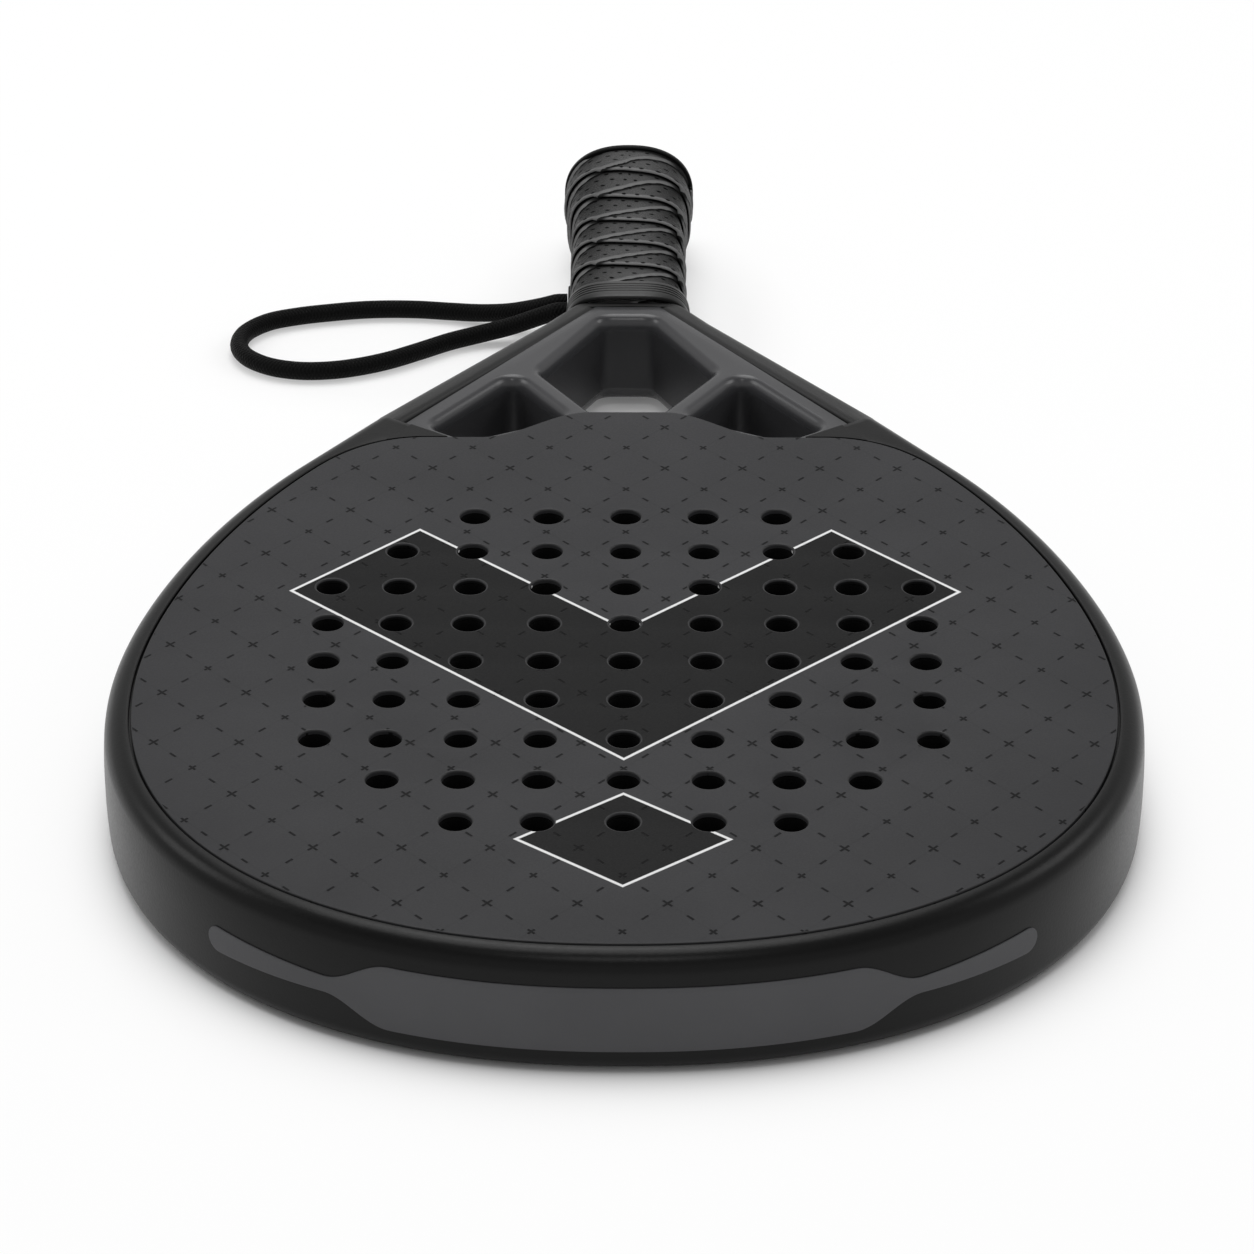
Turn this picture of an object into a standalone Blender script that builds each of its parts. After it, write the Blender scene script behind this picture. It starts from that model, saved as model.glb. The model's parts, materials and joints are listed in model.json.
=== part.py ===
# Padel racket, lying flat: +Y runs from the tip of the head to the butt, +Z is up.
# The origin is under the middle of the racket, on the surface that it lies on.
import math

import bmesh
import bpy
from mathutils import Matrix, Vector

# Overall sizes, in metres
RACKET_LENGTH = 0.455
HEAD_WIDTH = 0.260
HEAD_THICKNESS = 0.032
CLEARANCE = 0.0003

# Outline of the head and the throat arms
TIP_TO_WIDEST = 0.1226
TIP_FULLNESS = 2.2
SHOULDER_WIDTH = 0.180
SHOULDER_RISE = 0.122
SIDE_FULLNESS = 0.6
NECK_WIDTH = 0.037

# Frame tube
FRAME_WIDTH = 0.013
FRAME_WALL = 0.002
RIM_ROUND_IN = 0.007
RIM_ROUND_UP = 0.008
BORE_ROUND_SHARE = 0.6
ARM_WIDTH = 0.0085
ARM_THICKNESS = 0.0305
ARM_ROUND_SHARE = 0.85
NECK_THICKNESS = 0.025
NECK_BLEND = 0.1
STEP_RISE = 0.035
STEP_LENGTH = 0.0008
HUB_LENGTH = 0.0016
HUB_GAP = 0.0008
LEG_WIDTH = 0.0085
LEG_THICKNESS = 0.0134
LEG_REACH = 0.0115
LEG_LENGTH = 0.026
LEG_ROUND = 0.003

# Faces and foam core
FACE_SETBACK = 0.007
SKIN_THICKNESS = 0.0012
CROWN_ABOVE_SHOULDER = 0.014
CROWN_RISE = 0.015
CROWN_FLAT_HALF = 0.010
CROWN_FOOT_HALF = 0.040
CROWN_EASE = 0.017
HOLE_DIAMETER = 0.009
HOLE_SIDES = 8
HOLE_ROWS = (5, 7, 9, 9, 9, 9, 9, 7, 5)
ROW_PITCH = 0.0191
ROWS_ABOVE_WIDEST = 0.0137
COLUMN_PITCH = 0.0206
COLUMN_PITCH_LOSS = 0.00105

# Throat bridge
BRIDGE_THICKNESS = 0.027
BRIDGE_FOOT = 0.0045
WINDOW_ROUND = 0.004
WINDOW_CORNER = 0.0045
WINDOW_TOP_HALF = 0.007
WINDOW_TOP_MARGIN = 0.0075
WINDOW_WAIST_HALF = 0.0245
WINDOW_WAIST_SHARE = 0.427
WINDOW_FOOT_HALF = 0.009
STRUT_WIDTH = 0.0078
SIDE_WINDOW_RIM = 0.0065

# Protector film round the tip
GUARD_THICKNESS = 0.0006
GUARD_HALF_HEIGHT = 0.0092
GUARD_HALF_LENGTH = 0.055
GUARD_WAIST = 0.072
GUARD_ARM_LENGTH = 0.107
GUARD_ARM_HALF_HEIGHT = 0.0022
GUARD_END_HALF_HEIGHT = 0.0036
GUARD_STEPS = 26

# Handle: half sizes are of its boxy oval section, across and up
HANDLE_LENGTH = 0.106
SECTION_FULLNESS = 3.4
BUTT_FULLNESS = 2.3
SECTION_POINTS = 28
BASE_HALF = (0.0146, 0.0114)
BASE_GRIP_THICKNESS = 0.0010
FLARE_LENGTH = 0.0435
FLARE_RUN = 0.033
FLARE_GROWTH = (0.0026, 0.0021)
BUTT_WALL = 0.0055
BUTT_RIM_LENGTH = 0.0030
BUTT_RIM_HALF = (0.0194, 0.0159)
BUTT_RIM_ROUND = 0.0016
PIN_DIAMETER = 0.0018
PIN_LENGTH = 0.0070
PIN_HEIGHT = 0.0050
PIN_TO_FLARE = 0.011
PIN_SIDES = 12

# Overgrip tape, wound from the butt to the throat
TAPE_WIDTH = 0.020
TAPE_THICKNESS = 0.00055
TAPE_PITCH = 0.0155
TAPE_GAP = 0.0006
TAPE_STRIPS = 2
TAPE_POINTS_PER_TURN = 22
TAPE_LEAST_WIDTH = 0.0015
FINISHING_TAPE_THICKNESS = 0.0003
FINISHING_TAPE_LENGTH = 0.009

# Rubber collar
COLLAR_LENGTH = 0.011
COLLAR_WALL = 0.0009
COLLAR_RIBS = 5
COLLAR_GROOVE = 0.00035
RIB_START = 0.3
RIB_END = 0.8

# Wrist cord, its grommet and its knot
CORD_DIAMETER = 0.0046
CORD_STEP = 0.010
CORD_SIDES = 12
CORD_LEAD = 0.0030
CORD_LIFT = 0.0002
STRAND_SPACING = 0.0058
LEG_TO_KNOT_ROOM = 0.002
CORD_EXIT_HEIGHT = 0.0108
GROMMET_REACH = 0.0179
GROMMET_FLANGE = 0.0008
GROMMET_FLANGE_LIP = 0.0010
GROMMET_WALL = 0.0010
GROMMET_DEPTH = 0.0074
STADIUM_POINTS = 6
KNOT_RADII = (0.0055, 0.0064, 0.0037)
KNOT_CENTRE_X = -0.0045

# Places that follow from the sizes above
MID_Z = HEAD_THICKNESS / 2
TIP_Y = -RACKET_LENGTH / 2
BUTT_Y = RACKET_LENGTH / 2
FRAME_TIP_Y = TIP_Y + GUARD_THICKNESS + CLEARANCE
WIDEST_Y = FRAME_TIP_Y + TIP_TO_WIDEST
SHOULDER = Vector((SHOULDER_WIDTH / 2, WIDEST_Y + SHOULDER_RISE))
COLLAR_Y = BUTT_Y - HANDLE_LENGTH
NECK = Vector((NECK_WIDTH / 2, COLLAR_Y - CLEARANCE))
ARM_ALONG = (SHOULDER - NECK).normalized()
ARM_INWARD = Vector((ARM_ALONG.y, -ARM_ALONG.x))
CROWN_BASE_Y = SHOULDER.y + CROWN_ABOVE_SHOULDER
POCKET_DEPTH = SKIN_THICKNESS + CLEARANCE
HUB_Y = NECK.y - HUB_LENGTH
BRIDGE_TOP_Y = HUB_Y - 3 * CLEARANCE
FLARE_Y = BUTT_Y - FLARE_LENGTH
RIM_Y = BUTT_Y - BUTT_RIM_LENGTH
CORE_HALF = tuple(half - BASE_GRIP_THICKNESS - CLEARANCE for half in BASE_HALF)
TAPE_SLOPE = (TAPE_THICKNESS + TAPE_GAP) / TAPE_PITCH
TAPE_RISE = CLEARANCE + TAPE_SLOPE * TAPE_WIDTH + TAPE_THICKNESS
FINISHING_RISE = TAPE_RISE + CLEARANCE
COLLAR_RISE = FINISHING_RISE + FINISHING_TAPE_THICKNESS + CLEARANCE
KNOT_ROOM_HALF = KNOT_RADII[1] + 2 * CLEARANCE
CORD_EXIT_Y = COLLAR_Y + LEG_LENGTH + LEG_TO_KNOT_ROOM + KNOT_ROOM_HALF
CORD_START_X = -GROMMET_REACH - CLEARANCE
CORD_REST_Z = CORD_DIAMETER / 2 + CORD_LIFT
NEAR_STRAND_Y = CORD_EXIT_Y - STRAND_SPACING / 2
FAR_STRAND_Y = CORD_EXIT_Y + STRAND_SPACING / 2
BORE_HALF = CORD_DIAMETER / 2 + CLEARANCE

# Points that the wrist cord's middle line passes through, from the near strand to the far one
CORD_ROUTE = (
    (CORD_START_X, NEAR_STRAND_Y, CORD_EXIT_HEIGHT),
    (CORD_START_X - CORD_LEAD, NEAR_STRAND_Y, CORD_EXIT_HEIGHT),
    (-0.0268, 0.1541, 0.0086),
    (-0.0356, 0.1544, 0.0052),
    (-0.0444, 0.1530, 0.0030),
    (-0.0532, 0.1490, CORD_REST_Z),
    (-0.0619, 0.1426, CORD_REST_Z),
    (-0.0705, 0.1366, CORD_REST_Z),
    (-0.0792, 0.1323, CORD_REST_Z),
    (-0.0879, 0.1298, CORD_REST_Z),
    (-0.0970, 0.1295, CORD_REST_Z),
    (-0.1058, 0.1322, CORD_REST_Z),
    (-0.1128, 0.1382, CORD_REST_Z),
    (-0.1159, 0.1460, CORD_REST_Z),
    (-0.1144, 0.1546, CORD_REST_Z),
    (-0.1081, 0.1620, CORD_REST_Z),
    (-0.0992, 0.1660, CORD_REST_Z),
    (-0.0901, 0.1684, CORD_REST_Z),
    (-0.0811, 0.1702, CORD_REST_Z),
    (-0.0721, 0.1709, CORD_REST_Z),
    (-0.0630, 0.1706, CORD_REST_Z),
    (-0.0539, 0.1694, CORD_REST_Z),
    (-0.0448, 0.1670, 0.0033),
    (-0.0358, 0.1636, 0.0056),
    (-0.0268, 0.1604, 0.0088),
    (CORD_START_X - CORD_LEAD, FAR_STRAND_Y, CORD_EXIT_HEIGHT),
    (CORD_START_X, FAR_STRAND_Y, CORD_EXIT_HEIGHT),
)

# Finish of each material: colour, roughness, metallic
FINISHES = {
    "black_carbon": ((0.030, 0.030, 0.032), 0.38, 0.0),
    "grey_face": ((0.060, 0.060, 0.063), 0.55, 0.0),
    "satin_grey": ((0.105, 0.105, 0.108), 0.42, 0.0),
    "grey_film": ((0.070, 0.070, 0.072), 0.50, 0.0),
    "dark_foam": ((0.012, 0.012, 0.012), 0.90, 0.0),
    "pale_foam": ((0.420, 0.390, 0.330), 0.90, 0.0),
    "black_grip": ((0.034, 0.034, 0.035), 0.75, 0.0),
    "black_rubber": ((0.018, 0.018, 0.019), 0.60, 0.0),
    "black_plastic": ((0.014, 0.014, 0.015), 0.45, 0.0),
    "black_cord": ((0.007, 0.007, 0.008), 0.80, 0.0),
    "steel": ((0.420, 0.420, 0.430), 0.35, 1.0),
}


def clear_scene():
    for item in list(bpy.data.objects):
        bpy.data.objects.remove(item, do_unlink=True)


def new_collection(name):
    group = bpy.data.collections.new(name)
    bpy.context.scene.collection.children.link(group)
    return group


def finish_material(name):
    material = bpy.data.materials.get(name)
    if material:
        return material
    colour, roughness, metallic = FINISHES[name]
    material = bpy.data.materials.new(name)
    material.use_nodes = True
    shader = material.node_tree.nodes["Principled BSDF"]
    shader.inputs["Base Color"].default_value = (*colour, 1.0)
    shader.inputs["Roughness"].default_value = roughness
    shader.inputs["Metallic"].default_value = metallic
    return material


class Workshop:
    """Holds the two collections and adds finished parts and cutters to them."""

    def __init__(self):
        self.parts = new_collection("padel_racket")
        self.cutters = new_collection("padel_racket_cutters")
        self.root = bpy.data.objects.new("racket_origin", None)
        self.parts.objects.link(self.root)

    def part(self, name, mesh, finish, origin=(0.0, 0.0, 0.0)):
        mesh.name = name
        mesh.transform(Matrix.Translation(-Vector(origin)))
        mesh.materials.clear()
        mesh.materials.append(finish_material(finish))
        item = bpy.data.objects.new(name, mesh)
        item.location = origin
        item.parent = self.root
        self.parts.objects.link(item)
        return item

    def cutter(self, name, mesh):
        item = bpy.data.objects.new(name, mesh)
        item.hide_render = True
        item.display_type = "WIRE"
        self.cutters.objects.link(item)
        return item


def combine(item, other, operation="DIFFERENCE"):
    modifier = item.modifiers.new(other.name, "BOOLEAN")
    modifier.operation = operation
    modifier.solver = "EXACT"
    modifier.object = other


def shade(mesh, sharp_degrees=35):
    mesh.shade_smooth()
    mesh.set_sharp_from_angle(angle=math.radians(sharp_degrees))
    return mesh


def curve_mesh(curve, matrix):
    holder = bpy.data.objects.new("outline", curve)
    holder.matrix_world = matrix
    bpy.context.scene.collection.objects.link(holder)
    graph = bpy.context.evaluated_depsgraph_get()
    mesh = bpy.data.meshes.new_from_object(holder.evaluated_get(graph))
    mesh.transform(matrix)
    bpy.data.objects.remove(holder, do_unlink=True)
    work = bmesh.new()
    work.from_mesh(mesh)
    bmesh.ops.remove_doubles(work, verts=work.verts, dist=1e-6)
    bmesh.ops.recalc_face_normals(work, faces=work.faces)
    work.to_mesh(mesh)
    work.free()
    return mesh


def extruded(loops, low, high, matrix=None):
    curve = bpy.data.curves.new("outline", "CURVE")
    curve.dimensions = "2D"
    curve.fill_mode = "BOTH"
    curve.extrude = (high - low) / 2
    for loop in loops:
        spline = curve.splines.new("POLY")
        spline.points.add(len(loop) - 1)
        for point, place in zip(spline.points, loop):
            point.co = (place[0], place[1], 0.0, 1.0)
        spline.use_cyclic_u = True
    lifted = Matrix.Translation((0.0, 0.0, (low + high) / 2))
    return curve_mesh(curve, matrix @ lifted if matrix else lifted)


def lofted(rings, closed=False):
    """Skin over rings of equal count; a closed loft joins its last ring to its first."""
    work = bmesh.new()
    loops = [[work.verts.new(place) for place in ring] for ring in rings]
    pairs = list(zip(loops, loops[1:]))
    if closed:
        pairs.append((loops[-1], loops[0]))
    for first, second in pairs:
        for index in range(len(first)):
            after = (index + 1) % len(first)
            work.faces.new((first[index], first[after], second[after], second[index]))
    if not closed:
        work.faces.new(loops[0])
        work.faces.new(loops[-1])
    bmesh.ops.recalc_face_normals(work, faces=work.faces)
    mesh = bpy.data.meshes.new("loft")
    work.to_mesh(mesh)
    work.free()
    return shade(mesh)


def mirrored(points):
    """A right half that starts and ends on the middle line, made into a whole outline."""
    left = [Vector((-point[0], point[1])) for point in reversed(points[1:-1])]
    return [Vector(point) for point in points] + left


def line_meeting(point_a, along_a, point_b, along_b):
    cross = along_a.x * along_b.y - along_a.y * along_b.x
    gap = point_b - point_a
    return point_a + along_a * ((gap.x * along_b.y - gap.y * along_b.x) / cross)


def rounded(points, radius, steps=4):
    """A polygon with each corner turned into an arc that leaves both edges smoothly."""
    result = []
    count = len(points)
    for index, corner in enumerate(points):
        before = points[index - 1] - corner
        after = points[(index + 1) % count] - corner
        half_angle = before.angle(after) / 2
        reach = min(radius / math.tan(half_angle), before.length / 2, after.length / 2)
        start = corner + before.normalized() * reach
        end = corner + after.normalized() * reach
        for step in range(steps + 1):
            share = step / steps
            result.append(start.lerp(corner, share).lerp(corner.lerp(end, share), share))
    return result


def without_repeats(points):
    kept = []
    for point in points:
        if not kept or (point - kept[-1]).length > CLEARANCE:
            kept.append(point)
    return kept


# Plan outline of the racket's outer edge, right half


def side_point(share):
    """Curve from the shoulder, in line with the arm, to the widest place."""
    widest = Vector((HEAD_WIDTH / 2, WIDEST_Y))
    corner = line_meeting(SHOULDER, ARM_ALONG, widest, Vector((0.0, 1.0)))
    first = SHOULDER.lerp(corner, SIDE_FULLNESS)
    second = widest.lerp(corner, SIDE_FULLNESS)
    rest = 1 - share
    return (SHOULDER * rest ** 3 + first * 3 * rest ** 2 * share
            + second * 3 * rest * share ** 2 + widest * share ** 3)


def tip_point(angle):
    power = 2 / TIP_FULLNESS
    across = HEAD_WIDTH / 2 * math.cos(angle) ** power if angle < math.pi / 2 else 0.0
    return Vector((across, WIDEST_Y - TIP_TO_WIDEST * math.sin(angle) ** power))


def outer_edge(side_steps=8, tip_steps=12):
    """Points from the shoulder to the tip, each with its inward direction."""
    points = [side_point(step / side_steps) for step in range(side_steps)]
    points += [tip_point(math.pi / 2 * step / tip_steps) for step in range(tip_steps + 1)]
    result = []
    for index, point in enumerate(points):
        before = points[max(index - 1, 0)]
        after = points[min(index + 1, len(points) - 1)]
        along = (after - before).normalized()
        inward = Vector((along.y, -along.x))
        if index == 0:
            inward = ARM_INWARD
        if index == len(points) - 1:
            inward = Vector((0.0, 1.0))
        result.append((point, inward))
    return result


def crown_y(across):
    """Upper edge of the face: a smooth hump in the middle, level at its feet."""
    share = (abs(across) - CROWN_FLAT_HALF) / (CROWN_FOOT_HALF - CROWN_FLAT_HALF)
    share = min(max(share, 0.0), 1.0)
    return CROWN_BASE_Y + CROWN_RISE * (1 + math.cos(math.pi * share)) / 2


def crown_edge(setback, drop, steps=9, ease_steps=5):
    """Upper edge of a head plate, from the middle line to its shoulder."""
    level = CROWN_BASE_Y - drop
    start = SHOULDER + ARM_INWARD * setback
    corner = line_meeting(Vector((0.0, level)), Vector((1.0, 0.0)), start, ARM_ALONG)
    foot = corner.x - CROWN_EASE
    places = [CROWN_FOOT_HALF * step / steps for step in range(steps + 1)]
    points = [Vector((across, crown_y(across) - drop)) for across in places]
    eased = Vector((foot, level))
    for step in range(ease_steps + 1):
        share = step / ease_steps
        points.append(eased.lerp(corner, share).lerp(corner.lerp(start, share), share))
    return points


def head_outline(setback, drop):
    sides = [point + inward * setback for point, inward in outer_edge()]
    return mirrored(crown_edge(setback, drop) + sides[1:])


def arm_edge(setback, y):
    """Place on a line that runs along the arm, a setback in from its outer edge."""
    return line_meeting(NECK + ARM_INWARD * setback, ARM_ALONG, Vector((0.0, y)), Vector((1.0, 0.0)))


def step_line(lift=0.0):
    """The end of the thick head across the arm: its outer point, and its direction inward."""
    return SHOULDER - ARM_ALONG * (STEP_RISE + lift), ARM_INWARD


# Handle sections


def section_ring(half, y, fullness=SECTION_FULLNESS):
    angles = [2 * math.pi * index / SECTION_POINTS for index in range(SECTION_POINTS)]
    return [section_place(half, y, angle, fullness) for angle in angles]


def section_place(half, y, angle, fullness=SECTION_FULLNESS):
    power = 2 / fullness
    across = math.copysign(abs(math.cos(angle)) ** power, math.cos(angle))
    up = math.copysign(abs(math.sin(angle)) ** power, math.sin(angle))
    return Vector((half[0] * across, y, MID_Z + half[1] * up))


def grown(half, extra):
    return tuple(size + extra for size in half)


def flare_share(y):
    share = min(max((y - FLARE_Y) / FLARE_RUN, 0.0), 1.0)
    return share * share * (3 - 2 * share)


def flare_half(y):
    """Half sizes of what the tape is wound on: straight, then swelling to the butt."""
    ease = flare_share(y)
    return tuple(base + growth * ease for base, growth in zip(BASE_HALF, FLARE_GROWTH))


def flare_fullness(y):
    """Boxy along the handle, turning to a plain oval at the butt."""
    return SECTION_FULLNESS + (BUTT_FULLNESS - SECTION_FULLNESS) * flare_share(y)


def flare_ring(y):
    return section_ring(flare_half(y), y, flare_fullness(y))


def sleeve(inner, outer, low, high):
    rings = [section_ring(outer, low), section_ring(outer, high)]
    rings += [section_ring(inner, high), section_ring(inner, low)]
    return lofted(rings, closed=True)


def stadium(length, height):
    """Outline with straight sides and round ends, long along its first axis."""
    radius = height / 2
    points = []
    for side in (1, -1):
        for step in range(STADIUM_POINTS + 1):
            angle = -math.pi / 2 + math.pi * step / STADIUM_POINTS
            across = length / 2 - radius + radius * math.cos(angle)
            points.append(Vector((side * across, side * radius * math.sin(angle))))
    return points


def cord_side():
    """Frame on the handle's left side: first axis along Y, second up, third towards -X."""
    turn = Matrix(((0.0, 0.0, -1.0), (-1.0, 0.0, 0.0), (0.0, 1.0, 0.0)))
    return Matrix.Translation((0.0, CORD_EXIT_Y, CORD_EXIT_HEIGHT)) @ turn.to_4x4()


# Parts of the head


def tube_ring(origin, inward, width, height, round_in, round_up, steps=3):
    """Section of the frame tube: square on its inner side, rounded on its outer side."""
    half = height / 2
    profile = [(width, -half)]
    for step in range(steps + 1):
        angle = math.pi / 2 * step / steps
        profile.append((round_in * (1 - math.sin(angle)), -half + round_up * (1 - math.cos(angle))))
    profile += [(depth, -up) for depth, up in reversed(profile)]
    return [Vector((*(origin + inward * depth), MID_Z + up)) for depth, up in profile]


def frame_rings(wall):
    """Tube sections from the leg's end in the handle to the tip; a wall gives the bore."""
    across = Vector((-1.0, 0.0))
    shrink = 2 * (wall + POCKET_DEPTH) if wall else 0.0
    leg_end = COLLAR_Y + LEG_LENGTH
    arm_round_in = RIM_ROUND_IN * ARM_ROUND_SHARE
    arm_round_up = RIM_ROUND_UP * ARM_ROUND_SHARE

    def ring(origin, inward, width, height, round_in, round_up):
        scale = BORE_ROUND_SHARE if wall else 1.0
        return tube_ring(origin + inward * wall, inward, width - 2 * wall, height - shrink,
                         round_in * scale, round_up * scale)

    def leg(y):
        height = LEG_THICKNESS + (2 * POCKET_DEPTH if wall else 0.0)
        return ring(Vector((LEG_REACH, y)), across, LEG_WIDTH, height, LEG_ROUND, LEG_ROUND)

    def arm(origin, share):
        height = NECK_THICKNESS + (ARM_THICKNESS - NECK_THICKNESS) * share
        return ring(origin, ARM_INWARD, ARM_WIDTH, height, arm_round_in, arm_round_up)

    def neck(origin_x, y, width):
        return ring(Vector((origin_x, y)), across, width, NECK_THICKNESS, arm_round_in, arm_round_up)

    cut_width = ARM_WIDTH / -ARM_INWARD.x
    arm_start_y = HUB_Y - CLEARANCE
    start = arm_edge(0.0, arm_start_y)
    step_point = step_line()[0]
    past_neck = start + ARM_ALONG * cut_width
    rings = [leg(leg_end), leg(COLLAR_Y + CLEARANCE)]
    if wall:
        middle = (LEG_REACH + start.x) / 2
        rings.append(neck(middle, (HUB_Y + NECK.y) / 2, LEG_WIDTH))
        rings.append(neck(start.x, arm_start_y, cut_width))
    else:
        rings.append(neck(NECK.x, NECK.y, NECK.x - CLEARANCE))
        rings.append(neck(start.x, HUB_Y, start.x - CLEARANCE))
        rings.append(neck(start.x, arm_start_y, cut_width))
    rings.append(arm(past_neck, NECK_BLEND))
    rings.append(arm(step_point - ARM_ALONG * STEP_LENGTH / 2, 1.0))
    head = [(step_point + ARM_ALONG * STEP_LENGTH / 2, ARM_INWARD)] + outer_edge()
    for origin, inward in head:
        rings.append(ring(origin, inward, FRAME_WIDTH, HEAD_THICKNESS, RIM_ROUND_IN, RIM_ROUND_UP))
    flipped = []
    for loop in reversed(rings[:-1]):
        flipped.append([Vector((-place.x, place.y, place.z)) for place in loop])
    return rings + flipped


def build_frame(shop):
    rings = frame_rings(0.0) + list(reversed(frame_rings(FRAME_WALL)))
    frame = shop.part("frame_tube", lofted(rings, closed=True), "black_carbon")
    pocket = [head_outline(FACE_SETBACK - CLEARANCE, -CLEARANCE)]
    beyond = 2 * POCKET_DEPTH
    levels = {
        "upper_pocket": (HEAD_THICKNESS - POCKET_DEPTH, HEAD_THICKNESS + beyond),
        "lower_pocket": (-beyond, POCKET_DEPTH),
    }
    for name, (low, high) in levels.items():
        combine(frame, shop.cutter(name, extruded(pocket, low, high)))


def hole_loops():
    loops = []
    middle_row = (len(HOLE_ROWS) - 1) / 2
    for row, count in enumerate(HOLE_ROWS):
        y = WIDEST_Y + ROWS_ABOVE_WIDEST + (middle_row - row) * ROW_PITCH
        for column in range(-(count // 2), count // 2 + 1):
            steps = abs(column)
            reach = steps * COLUMN_PITCH - COLUMN_PITCH_LOSS * steps * (steps - 1) / 2
            loops.append(hole_loop(math.copysign(reach, column), y))
    return loops


def hole_loop(x, y):
    radius = HOLE_DIAMETER / 2
    angles = [2 * math.pi * index / HOLE_SIDES for index in range(HOLE_SIDES)]
    return [Vector((x + radius * math.cos(angle), y + radius * math.sin(angle))) for angle in angles]


def build_faces(shop):
    face = [head_outline(FACE_SETBACK, 0.0)] + hole_loops()
    shop.part("face_top", extruded(face, HEAD_THICKNESS - SKIN_THICKNESS, HEAD_THICKNESS), "grey_face")
    shop.part("face_bottom", extruded(face, 0.0, SKIN_THICKNESS), "grey_face")
    core = [head_outline(FRAME_WIDTH + CLEARANCE, CLEARANCE)] + hole_loops()
    shop.part("foam_core", extruded(core, POCKET_DEPTH, HEAD_THICKNESS - POCKET_DEPTH), "dark_foam")


def build_fillers(shop):
    """Wedges between the face's shoulder, the frame and the end of the thick head."""
    point, inward = step_line()
    start = point + inward * (FRAME_WIDTH + CLEARANCE)
    edge = crown_edge(FACE_SETBACK - CLEARANCE, -CLEARANCE)
    outline = [start]
    for place in edge:
        depth = (place - SHOULDER).dot(ARM_INWARD)
        behind_step = (place - point).dot(ARM_ALONG)
        if depth > FRAME_WIDTH + CLEARANCE and behind_step > 0.0:
            outline.append(place)
    tip = line_meeting(start, inward, Vector((0.0, CROWN_BASE_Y + CLEARANCE)), Vector((1.0, 0.0)))
    outline.insert(1, tip)
    last_y = outline[-1].y - CLEARANCE
    outline.append(arm_edge(FRAME_WIDTH + CLEARANCE, last_y))
    for name, side in (("shoulder_filler_left", -1), ("shoulder_filler_right", 1)):
        loop = [Vector((side * place.x, place.y)) for place in without_repeats(outline)]
        shop.part(name, extruded([loop], 0.0, HEAD_THICKNESS), "black_carbon")


def bridge_outline():
    neck = arm_edge(ARM_WIDTH + CLEARANCE, BRIDGE_TOP_Y)
    point, inward = step_line(STEP_LENGTH + CLEARANCE)
    outer = point + inward * (ARM_WIDTH + CLEARANCE)
    level = Vector((0.0, CROWN_BASE_Y + CLEARANCE))
    foot = line_meeting(outer, inward, level, Vector((1.0, 0.0)))
    points = [Vector((0.0, BRIDGE_TOP_Y)), neck, outer, foot]
    steps = 9
    for step in range(steps, -1, -1):
        across = min(CROWN_FOOT_HALF, foot.x) * step / steps
        points.append(Vector((across, crown_y(across) + CLEARANCE)))
    return mirrored(without_repeats(points))


def window_waist():
    """The centre window's widest corner, and its lower corner."""
    top_y = BRIDGE_TOP_Y - WINDOW_TOP_MARGIN
    foot_y = crown_y(0.0) + BRIDGE_FOOT
    waist_y = foot_y + (top_y - foot_y) * WINDOW_WAIST_SHARE
    return Vector((WINDOW_WAIST_HALF, waist_y)), Vector((WINDOW_FOOT_HALF, foot_y))


def centre_window():
    top = Vector((WINDOW_TOP_HALF, BRIDGE_TOP_Y - WINDOW_TOP_MARGIN))
    right = [top, *window_waist()]
    left = [Vector((-place.x, place.y)) for place in reversed(right)]
    return rounded(right + left, WINDOW_CORNER)


def clipped(polygon, point, inward):
    """What is left of a convex polygon on the inward side of a line."""
    kept = []
    for index, place in enumerate(polygon):
        before = polygon[index - 1]
        depth = (place - point).dot(inward)
        depth_before = (before - point).dot(inward)
        if depth * depth_before < 0.0:
            kept.append(before.lerp(place, depth_before / (depth_before - depth)))
        if depth >= 0.0:
            kept.append(place)
    return kept


def side_window():
    """Right window: beside the strut, along the arm, and above the face's edge."""
    waist, foot = window_waist()
    strut = (waist - foot).normalized()
    from_strut = Vector((strut.y, -strut.x))
    crown_foot = Vector((CROWN_FOOT_HALF, CROWN_BASE_Y))
    slope = (Vector((CROWN_FLAT_HALF, crown_y(0.0))) - crown_foot).normalized()
    above_slope = Vector((slope.y, -slope.x))
    up = Vector((0.0, 1.0))
    sides = (
        (NECK + ARM_INWARD * (ARM_WIDTH + CLEARANCE + SIDE_WINDOW_RIM), ARM_INWARD),
        (waist + from_strut * STRUT_WIDTH, from_strut),
        (step_line(STEP_LENGTH + CLEARANCE + BRIDGE_FOOT)[0], -ARM_ALONG),
        (crown_foot + up * BRIDGE_FOOT, up),
        (crown_foot + above_slope * BRIDGE_FOOT, above_slope),
    )
    reach = HEAD_WIDTH / 2
    polygon = [Vector((0.0, CROWN_BASE_Y)), Vector((reach, CROWN_BASE_Y)),
               Vector((reach, NECK.y)), Vector((0.0, NECK.y))]
    for point, inward in sides:
        polygon = clipped(polygon, point, inward)
    return rounded(without_repeats(polygon), WINDOW_CORNER)


def build_bridge(shop):
    right = side_window()
    left = [Vector((-place.x, place.y)) for place in reversed(right)]
    half = BRIDGE_THICKNESS / 2
    windows = [centre_window(), right, left]
    mesh = extruded([bridge_outline()] + windows, MID_Z - half, MID_Z + half)
    round_window_edges(mesh, windows, half)
    shop.part("throat_bridge", shade(mesh), "satin_grey")


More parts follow.
